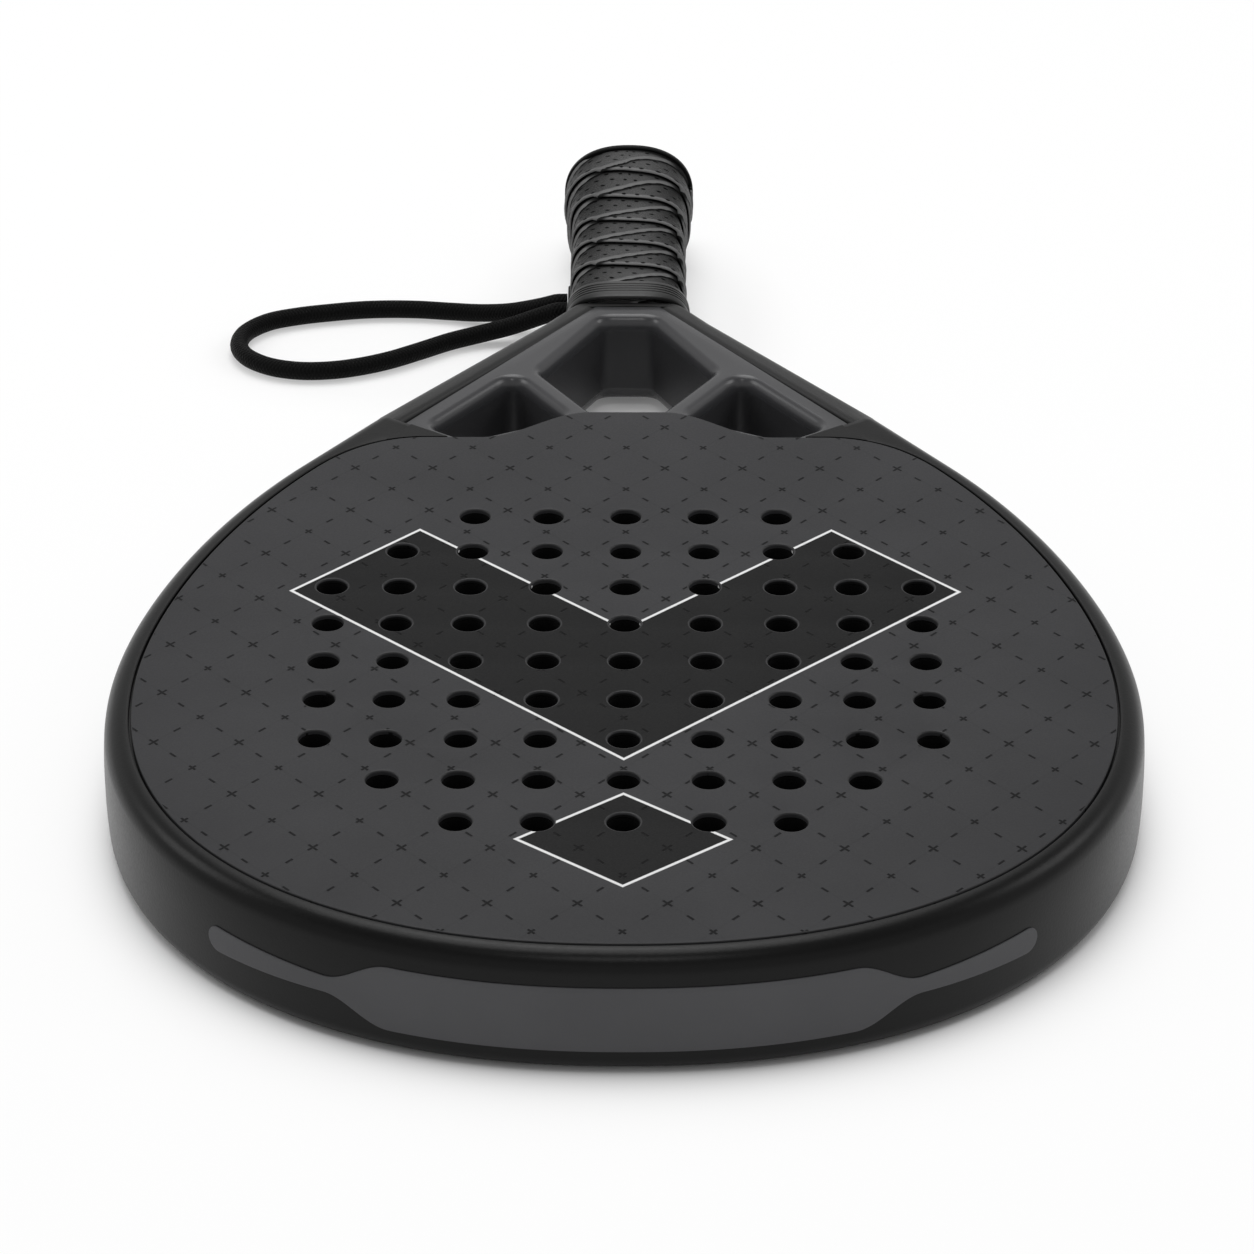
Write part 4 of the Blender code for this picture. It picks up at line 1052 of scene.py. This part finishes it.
def apart(points, least=1e-5):
    kept = []
    for point in points:
        if not kept or (point - kept[-1]).length > least:
            kept.append(point)
    if (kept[0] - kept[-1]).length <= least:
        kept.pop()
    return kept


def clipped(polygon, point, inward):
    kept = []
    for index, place in enumerate(polygon):
        before = polygon[index - 1]
        depth = (place - point).dot(inward)
        depthBefore = (before - point).dot(inward)
        if depth * depthBefore < 0.0:
            kept.append(before.lerp(place, depthBefore / (depthBefore - depth)))
        if depth >= 0.0:
            kept.append(place)
    return kept


def bridgeOutline():
    form = bridgeForm
    neck = armEdge(frameForm["armWidth"] + seam, form["topY"])
    outer = stepPoint(plan["stepLength"] + seam) + armInward * (frameForm["armWidth"] + seam)
    foot = atLevel(outer, armInward, plan["crownY"] + seam)
    half = [Vector((0.0, form["topY"])), neck, outer, foot]
    for share in reversed(shares(form["crownSteps"])):
        across = plan["crownFoot"] * share
        half.append(Vector((across, crownLine(across) + seam)))
    return wholeOutline(apart(half))


def bridgeWindows():
    form = bridgeForm
    topY = form["topY"] - form["topMargin"]
    footY = crownLine(0.0) + form["foot"]
    waist = Vector((form["waistHalf"], footY + (topY - footY) * form["waistShare"]))
    foot = Vector((form["footHalf"], footY))
    right = [Vector((form["topHalf"], topY)), waist, foot]
    centre = right + leftSide(right)
    strut = (waist - foot).normalized()
    fromStrut = Vector((strut.y, -strut.x))
    crownFoot = Vector((plan["crownFoot"], plan["crownY"]))
    slope = (Vector((plan["crownFlat"], crownLine(0.0))) - crownFoot).normalized()
    aboveSlope = Vector((slope.y, -slope.x))
    up = Vector((0.0, 1.0))
    sides = (
        (plan["neck"] + armInward * (frameForm["armWidth"] + seam + form["sideRim"]), armInward),
        (waist + fromStrut * form["strut"], fromStrut),
        (stepPoint(plan["stepLength"] + seam + form["foot"]), -armAlong),
        (crownFoot + up * form["foot"], up),
        (crownFoot + aboveSlope * form["foot"], aboveSlope),
    )
    reach = plan["halfWidth"]
    low, high = plan["crownY"], plan["neck"].y
    polygon = [Vector(place) for place in ((0.0, low), (reach, low), (reach, high), (0.0, high))]
    for point, inward in sides:
        polygon = clipped(polygon, point, inward)
    right = roundedCorners(apart(polygon), form["corner"])
    return [apart(loop) for loop in (roundedCorners(centre, form["corner"]), right, leftSide(right))]


def bridgeSkin(points, down):
    # points on the gently sloping top, or a little under it
    form = bridgeForm
    places = []
    for point in points:
        share = (point.y - plan["crownY"]) / (form["topY"] - plan["crownY"])
        top = form["footHeight"] + (form["neckHeight"] - form["footHeight"]) * share
        places.append(Vector((point.x, point.y, top - down)))
    return places


def buildBridge():
    form = bridgeForm
    across, down = form["windowRound"]
    outline, windows = bridgeOutline(), bridgeWindows()
    bm = bmesh.new()
    rim = startLoop(bm, bridgeSkin(spread(outline, -form["edgeRound"]), 0.0))
    loops = [startLoop(bm, bridgeSkin(spread(window, across), 0.0)) for window in windows]
    fillPlate(bm, [rim] + loops)
    for sine, rest in quarter(form["edgeSteps"]):
        inset = form["edgeRound"] * (1 - sine)
        rim = growLoop(bm, rim, bridgeSkin(spread(outline, -inset), form["edgeRound"] * rest))
    growLoop(bm, rim, atHeight(outline, 0.0))
    for window, loop in zip(windows, loops):
        for sine, rest in quarter(form["windowSteps"]):
            loop = growLoop(bm, loop, bridgeSkin(spread(window, across * (1 - sine)), down * rest))
        growLoop(bm, loop, atHeight(window, 0.0))
    everything = bm.verts[:] + bm.edges[:] + bm.faces[:]
    bmesh.ops.mirror(bm, geom=everything, merge_dist=meshing["join"], axis="Z")
    bmesh.ops.translate(bm, vec=(0.0, 0.0, midZ), verts=bm.verts)
    bmesh.ops.recalc_face_normals(bm, faces=bm.faces)
    # the window walls take a darker copy of the grey: painted shade
    for face in bm.faces:
        face.material_index = 1 if abs(face.normal.z) < form["wallNormal"] else 0
    finishNames = ["throatGrey", "throatWallShaded"]
    makePiece(bm, "throatBridge", finishNames, ["throat_bridge"], flatTops=True)


# protector film round the tip
guardForm = {
    "lift": 0.00004,
    "thickness": 0.0003,
    "halfHeight": 0.0088,
    "drop": 0.0004,
    "halfLength": 0.055,
    "waist": 0.072,
    "armLength": 0.107,
    "armHalf": 0.0022,
    "endHalf": 0.0036,
    "edge": 0.00014,
    "edgeCut": 0.3,
    "endLeast": 1.5,
    "crowding": 1.5,
    "steps": 150,
    "wallSteps": 5,
}


def guardHalfHeight(arc):
    form = guardForm
    if arc <= form["waist"]:
        share = max((arc - form["halfLength"]) / (form["waist"] - form["halfLength"]), 0.0)
        return form["armHalf"] + (form["halfHeight"] - form["armHalf"]) * easeDown(share)
    share = (arc - form["waist"]) / (form["armLength"] - form["waist"])
    width = form["armHalf"] + (form["endHalf"] - form["armHalf"]) * share
    toEnd = min((form["armLength"] - arc) / form["endHalf"], 1.0)
    return max(width * math.sqrt(max(1 - (1 - toEnd) ** 2, 0.0)), form["edge"] * form["endLeast"])


def tipArc(steps=700):
    # points from the middle of the tip to the widest place, with the length run so far
    arc, before = 0.0, tipPoint(math.pi / 2)
    for step in range(1, steps + 1):
        point = tipPoint(math.pi / 2 * (1 - step / steps))
        along = point - before
        yield arc, before, along
        arc += along.length
        before = point


def guardProfile(half):
    # depth and height round the film's section, which follows the rim's bulge
    form = guardForm
    low, edge, high = form["lift"], form["edge"], form["lift"] + form["thickness"]
    cut = edge * form["edgeCut"]
    rises = shares(form["wallSteps"])[1:]
    upper = [(low, half * share) for share in rises]
    upper += [(high - edge, half), (high - cut, half - cut)]
    upper += [(high, (half - edge) * share) for share in reversed(rises)]
    whole = upper + [(depth, -up) for depth, up in reversed(upper)]
    lowered = [(depth, up - form["drop"]) for depth, up in whole]
    return [(depth - bellyDepth(up), up) for depth, up in lowered]


def buildGuard():
    form = guardForm
    # closer together at the rounded end
    wanted = [form["armLength"] * (1 - (1 - share) ** form["crowding"]) for share in shares(form["steps"])]
    rings = []
    for arc, before, along in tipArc():
        while wanted and wanted[0] <= arc + along.length:
            place = before + along * ((wanted[0] - arc) / along.length)
            outward = Vector((along.y, -along.x)).normalized()
            if not rings:
                place.x, outward = 0.0, Vector((0.0, -1.0))
            profile = guardProfile(guardHalfHeight(wanted.pop(0)))
            rings.append([Vector((*(place + outward * depth), midZ + up)) for depth, up in profile])
    bm = bmesh.new()
    sweep(bm, [flipped(ring) for ring in reversed(rings[1:])] + rings)
    makePiece(bm, "headGuard", ["guardFilm"], ["head_guard"])


buildFrame()
buildWedges()
buildFace("topFace", "face_top", False)
buildFace("underFace", "face_bottom", True)
buildCore()
buildBridge()
buildGuard()
print("head and throat done")


# handle: a boxy oval that turns to a plain oval at the butt
handleForm = {
    "collarY": 0.1215,
    "buttY": 0.2275,
    "baseHalf": (0.0146, 0.0114),
    "fullness": 3.4,
    "buttFullness": 2.3,
    "flareY": 0.1840,
    "flareRun": 0.033,
    "flareGrowth": (0.0026, 0.0028),
    "coreHalf": (0.0133, 0.0101),
    "settle": 0.09,
    "ringPoints": 96,
}


def sectionPlace(half, y, angle, fullness):
    power = 2 / fullness
    across = math.copysign(abs(math.cos(angle)) ** power, math.cos(angle))
    up = math.copysign(abs(math.sin(angle)) ** power, math.sin(angle))
    if up < 0.0:
        up *= 1 - handleForm["settle"] * flareShare(y)    # keeps the wide rim off the floor
    return Vector((half[0] * across, y, midZ + half[1] * up))


def sectionRing(half, y, fullness=handleForm["fullness"]):
    count = handleForm["ringPoints"]
    return [sectionPlace(half, y, 2 * math.pi * index / count, fullness) for index in range(count)]


def grown(half, extra):
    return tuple(size + extra for size in half)


def flareShare(y):
    share = bounded((y - handleForm["flareY"]) / handleForm["flareRun"])
    return share * share * (3 - 2 * share)


def flareHalf(y):
    sizes = zip(handleForm["baseHalf"], handleForm["flareGrowth"])
    return tuple(base + growth * flareShare(y) for base, growth in sizes)


def flareFullness(y):
    return handleForm["fullness"] + (handleForm["buttFullness"] - handleForm["fullness"]) * flareShare(y)


# overgrip: one strip wound towards the butt, each turn riding on the one before
tapeForm = {
    "width": 0.020,
    "thickness": 0.00055,
    "pitch": 0.0155,
    "gap": 0.0006,
    "startY": 0.1226,
    "endY": 0.2242,
    "leastWidth": 0.0035,
    "turnPoints": 96,
    "stations": 40,
    "underStations": 4,
    "edgeShape": ((0.0, 0.30), (0.008, 0.72), (0.025, 0.95)),
    "bulge": 0.00012,
    "plump": 0.0008,
    "plumpFrom": 0.1325,
    "plumpRun": 0.006,
    "underDepth": 0.0007,
    "underPitch": 0.0155,
    "underStarts": 3,
    "underShift": 0.43,
    "underStep": 0.04,
}
tapeSlope = (tapeForm["thickness"] + tapeForm["gap"]) / tapeForm["pitch"]
tapeRise = seam + tapeSlope * tapeForm["width"] + tapeForm["thickness"]


def tapeProfile():
    # share of the width and of the thickness, round the upper side of the strip
    edge = list(tapeForm["edgeShape"])
    flat = [(share, 1.0) for share in shares(tapeForm["stations"])[2:-2]]
    return edge + flat + [(1 - share, full) for share, full in reversed(edge)]


def evenAngles(count, fine=4000):
    # angles that share the handle's girth out evenly, and the girth
    angles = [2 * math.pi * share for share in shares(fine)]
    places = [sectionPlace(handleForm["baseHalf"], 0.0, angle, handleForm["fullness"]) for angle in angles]
    lengths = runLengths(places)
    even, index = [], 0
    for step in range(count):
        while lengths[index] < lengths[-1] * step / count:
            index += 1
        even.append(angles[index])
    return even, lengths[-1]


tapeAngles, tapeGirth = evenAngles(tapeForm["turnPoints"])


def underLayer(turn, y):
    # turns of the layer below, which is wound the other way, counted up to a place
    form = tapeForm
    return y / form["underPitch"] + form["underStarts"] * turn + form["underShift"]


def tapeSwell(turn, y):
    form = tapeForm
    share = bounded((y - form["plumpFrom"]) / form["plumpRun"])
    place = underLayer(turn, y) % 1.0
    step = form["underStep"]
    fall = (place - step) / (1 - step) if place > step else easeDown(place / step)
    return share * (form["plump"] - form["underDepth"] * fall)


def tapeRing(index):
    form = tapeForm
    turn = index / form["turnPoints"]
    angle = tapeAngles[index % form["turnPoints"]]
    middle = handleForm["collarY"] + form["pitch"] * turn
    buttEdge = middle + form["width"] / 2
    low = max(middle - form["width"] / 2, form["startY"])
    high = min(buttEdge, form["endY"])
    if high - low < form["leastWidth"]:
        return None
    ring, strip = [], []
    under = [(share, 0.0) for share in reversed(shares(form["underStations"]))]
    for share, full in under + tapeProfile():
        y = low + (high - low) * share
        lift = seam + tapeSlope * (buttEdge - y) + form["thickness"] * full
        if full:
            lift += form["bulge"] * 4 * share * (1 - share)    # fullest midway
        lift += tapeSwell(turn, y)
        ring.append(sectionPlace(grown(flareHalf(y), lift), y, angle, flareFullness(y)))
        strip.append(Vector((turn * tapeGirth, buttEdge - y, underLayer(turn, y))))
    return ring, strip


def buildTape():
    form = tapeForm
    length = handleForm["buttY"] - handleForm["collarY"] + form["width"]
    count = int(length / form["pitch"] * form["turnPoints"]) + 1
    rings = [tapeRing(index) for index in range(-form["turnPoints"], count)]
    rings = [ring for ring in rings if ring]
    bm = bmesh.new()
    layer = bm.verts.layers.float_vector.new("tapeFrame")
    loops = sweep(bm, [ring for ring, strip in rings])
    for loop, (ring, strip) in zip(loops, rings):
        for vert, value in zip(loop, strip):
            vert[layer] = value
    makePiece(bm, "overgripTape", ["perforatedTape"], ["overgrip"],
              sharp=meshing["softSharp"])


# collar, finishing tape and butt cap
collarForm = {
    "length": 0.011,
    "wall": 0.0009,
    "thinWall": 0.0005,
    "rise": tapeRise + 3 * seam,
    "grooves": (0.0040, 0.0056, 0.0072, 0.0088),
    "grooveHalf": 0.00038,
    "grooveDepth": 0.00045,
    "grooveShape": ((1.0, 0.0), (0.6, 0.35), (0.25, 0.9)),
    "edge": 0.0004,
    "edgeSteps": 3,
    "tapeLength": 0.009,
    "tapeThickness": 0.0003,
}


def sleeve(profile):
    # closed band round the handle
    rings = [sectionRing(grown(handleForm["baseHalf"], rise), y) for y, rise in profile]
    bm = bmesh.new()
    sweep(bm, rings + [rings[0]], capped=False)
    return bm


def buildCollar():
    form = collarForm
    low, high = handleForm["collarY"], handleForm["collarY"] + form["length"]
    inner = form["rise"]
    outer = inner + form["wall"]
    thin = inner + form["thinWall"]
    profile = [(low, inner), (low, outer - form["edge"])]
    for sine, rest in quarter(form["edgeSteps"]):
        profile.append((low + form["edge"] * rest, outer - form["edge"] * (1 - sine)))
    shape = form["grooveShape"]
    groove = [(-offset, share) for offset, share in shape] + list(reversed(shape))
    for place in form["grooves"]:
        level = outer + (thin - outer) * place / form["length"]
        for offset, share in groove:
            profile.append((low + place + offset * form["grooveHalf"], level - form["grooveDepth"] * share))
    profile.append((high - form["edge"], thin))
    for sine, rest in quarter(form["edgeSteps"]):
        profile.append((high - form["edge"] * (1 - sine), thin - form["edge"] * rest))
    profile.append((high, inner))
    makePiece(sleeve(profile), "gripCollar", ["collarRubber"], ["grip_collar"],
              body="collar")


def buildFinishingTape():
    form = collarForm
    low = tapeForm["startY"]
    high = low + form["tapeLength"]
    inner = tapeRise + seam
    outer = inner + form["tapeThickness"]
    profile = ((low, inner), (low, outer), (high, outer), (high, inner))
    makePiece(sleeve(profile), "finishingTape", ["capPlastic"], ["finishing_tape"])


capForm = {
    "wall": 0.0055,
    "rimY": 0.2245,
    "rimHalf": (0.0199, 0.0164),
    "rimRound": 0.0016,
    "rimEdge": 0.0003,
    "rimSteps": 6,
    "flareSteps": 16,
}


def buildCap():
    form = capForm
    inner = grown(handleForm["coreHalf"], seam)
    buttY, flareY = handleForm["buttY"], handleForm["flareY"]
    rings = [sectionRing(inner, buttY - form["wall"]), sectionRing(inner, flareY)]
    for share in shares(form["flareSteps"]):
        y = flareY + handleForm["flareRun"] * share
        rings.append(sectionRing(flareHalf(y), y, flareFullness(y)))
    rimY, half, edge, soft = form["rimY"], form["rimHalf"], form["rimEdge"], form["rimRound"]
    rim = [(flareHalf(rimY), rimY), (grown(half, -edge), rimY), (half, rimY + edge), (half, buttY - soft)]
    for sine, rest in quarter(form["rimSteps"]):
        rim.append((grown(half, -soft * rest), buttY - soft * (1 - sine)))
    rings += [sectionRing(size, y, handleForm["buttFullness"]) for size, y in rim]
    bm = bmesh.new()
    sweep(bm, rings)
    makePiece(bm, "buttCap", ["capPlastic"], ["butt_cap"])


buildTape()
buildFinishingTape()
buildCollar()
buildCap()
print("handle done")


# wrist cord: one limp loop, both ends in a bush on the handle's left side
cordForm = {
    "diameter": 0.0054,
    "exitY": 0.1565,
    "exitZ": 0.0108,
    "startX": -0.0182,
    "lead": 0.003,
    "spacing": 0.0058,
    "restZ": 0.0029,
    "sides": 20,
    "step": 0.0012,
    "curveSteps": 12,
}
cordMiddle = (
    (-0.0268, 0.1541, 0.0086), (-0.0356, 0.1544, 0.0052), (-0.0444, 0.1530, 0.0034),
    (-0.0532, 0.1490, None), (-0.0619, 0.1426, None), (-0.0705, 0.1366, None),
    (-0.0792, 0.1323, None), (-0.0879, 0.1298, None), (-0.0970, 0.1295, None),
    (-0.1058, 0.1322, None), (-0.1128, 0.1382, None), (-0.1159, 0.1460, None),
    (-0.1144, 0.1546, None), (-0.1081, 0.1620, None), (-0.0992, 0.1660, None),
    (-0.0901, 0.1684, None), (-0.0811, 0.1702, None), (-0.0721, 0.1709, None),
    (-0.0630, 0.1706, None), (-0.0539, 0.1694, None), (-0.0448, 0.1670, 0.0036),
    (-0.0358, 0.1636, 0.0056), (-0.0268, 0.1604, 0.0088),
)


def cordRoute():
    form = cordForm
    near = form["exitY"] - form["spacing"] / 2
    far = form["exitY"] + form["spacing"] / 2
    tail = form["startX"] - form["lead"]
    middle = [Vector((x, y, form["restZ"] if z is None else z)) for x, y, z in cordMiddle]
    points = [Vector((tail, near, form["exitZ"]))] + middle + [Vector((tail, far, form["exitZ"]))]
    ends = [points[0] * 2 - points[1]] + points + [points[-1] * 2 - points[-2]]
    route = [Vector((form["startX"], near, form["exitZ"]))]
    for before, start, end, after in zip(ends, ends[1:], ends[2:], ends[3:]):
        for share in shares(form["curveSteps"])[:-1]:
            route.append(0.5 * (2 * start + (end - before) * share
                                + (2 * before - 5 * start + 4 * end - after) * share ** 2
                                + (3 * start - before - 3 * end + after) * share ** 3))
    return route + [points[-1], Vector((form["startX"], far, form["exitZ"]))]


def evenPath(route, spacing):
    lengths = runLengths(route)
    count = round(lengths[-1] / spacing)
    path, index = [], 0
    for step in range(count + 1):
        wanted = lengths[-1] * step / count
        while index < len(route) - 2 and lengths[index + 1] < wanted:
            index += 1
        share = (wanted - lengths[index]) / (lengths[index + 1] - lengths[index])
        path.append(route[index].lerp(route[index + 1], share))
    return path, lengths[-1]


def buildCord():
    form = cordForm
    path, length = evenPath(cordRoute(), form["step"])
    radius = form["diameter"] / 2
    angles = [2 * math.pi * index / form["sides"] for index in range(form["sides"])]
    rings = []
    side = Vector((0.0, 0.0, 1.0))
    for index, place in enumerate(path):
        along = (path[min(index + 1, len(path) - 1)] - path[max(index - 1, 0)]).normalized()
        if index in (0, len(path) - 1):
            along = Vector((-1.0 if index == 0 else 1.0, 0.0, 0.0))
        side = (side - along * side.dot(along)).normalized()
        other = along.cross(side)
        rings.append([place + (side * math.cos(a) + other * math.sin(a)) * radius for a in angles])
    bm = bmesh.new()
    layer = bm.verts.layers.float_vector.new("cordFrame")
    for row, loop in enumerate(sweep(bm, rings)):
        for angle, vert in zip(angles, loop):
            vert[layer] = Vector((math.cos(angle), math.sin(angle), length * row / (len(rings) - 1)))
    cord = makePiece(bm, "wristCord", ["blackBraid"], ["wrist_cord"],
                     sharp=meshing["softSharp"])
    tuple(path[0])
    [tuple(place) for place in path]


# bush that both strands go into
bushForm = {
    "reach": 0.0179,
    "depth": 0.0074,
    "flange": 0.0008,
    "lip": 0.0010,
    "wall": 0.0010,
    "round": 0.0003,
    "roundSteps": 3,
    "endPoints": 14,
}


def stadium(extra):
    form = bushForm
    radius = cordForm["diameter"] / 2 + seam + extra
    straight = cordForm["spacing"] / 2
    points = []
    for side in (1, -1):
        for share in shares(form["endPoints"]):
            angle = math.pi * (share - 0.5)
            points.append((side * (straight + radius * math.cos(angle)), side * radius * math.sin(angle)))
    return points


def bushRing(extra, reach):
    places = stadium(extra)
    return [Vector((-reach, cordForm["exitY"] - across, cordForm["exitZ"] + up)) for across, up in places]


def buildBush():
    form = bushForm
    reach, wall, soft = form["reach"], form["wall"], form["round"]
    wide = wall + form["lip"]
    inner, under = reach - form["depth"], reach - form["flange"]
    sections = [(0.0, inner), (wall, inner), (wall, under), (wide, under), (wide, reach - soft)]
    turns = list(quarter(form["roundSteps"]))
    sections += [(wide - soft * rest, reach - soft * (1 - sine)) for sine, rest in turns]
    sections += [(soft * (1 - sine), reach - soft * rest) for sine, rest in [(0.0, 0.0)] + turns]
    rings = [bushRing(extra, place) for extra, place in sections]
    bm = bmesh.new()
    sweep(bm, rings + [rings[0]], capped=False)
    makePiece(bm, "cordBush", ["capPlastic"], ["cord_grommet"])


buildCord()
buildBush()

# solids that keep their own shape get their finish
keptFinishes = {
    "base_grip": "gripRubber",
    "handle_core_upper": "paleFoam",
    "handle_core_lower": "paleFoam",
    "butt_pin_left": "pinSteel",
    "butt_pin_right": "pinSteel",
    "cord_knot": "blackBraid",
}
for node, finish in keptFinishes.items():
    mesh = frame["nodes"][node].data
    mesh.materials.clear()
    mesh.materials.append(finishes[finish])
print("cord and inner pieces done")
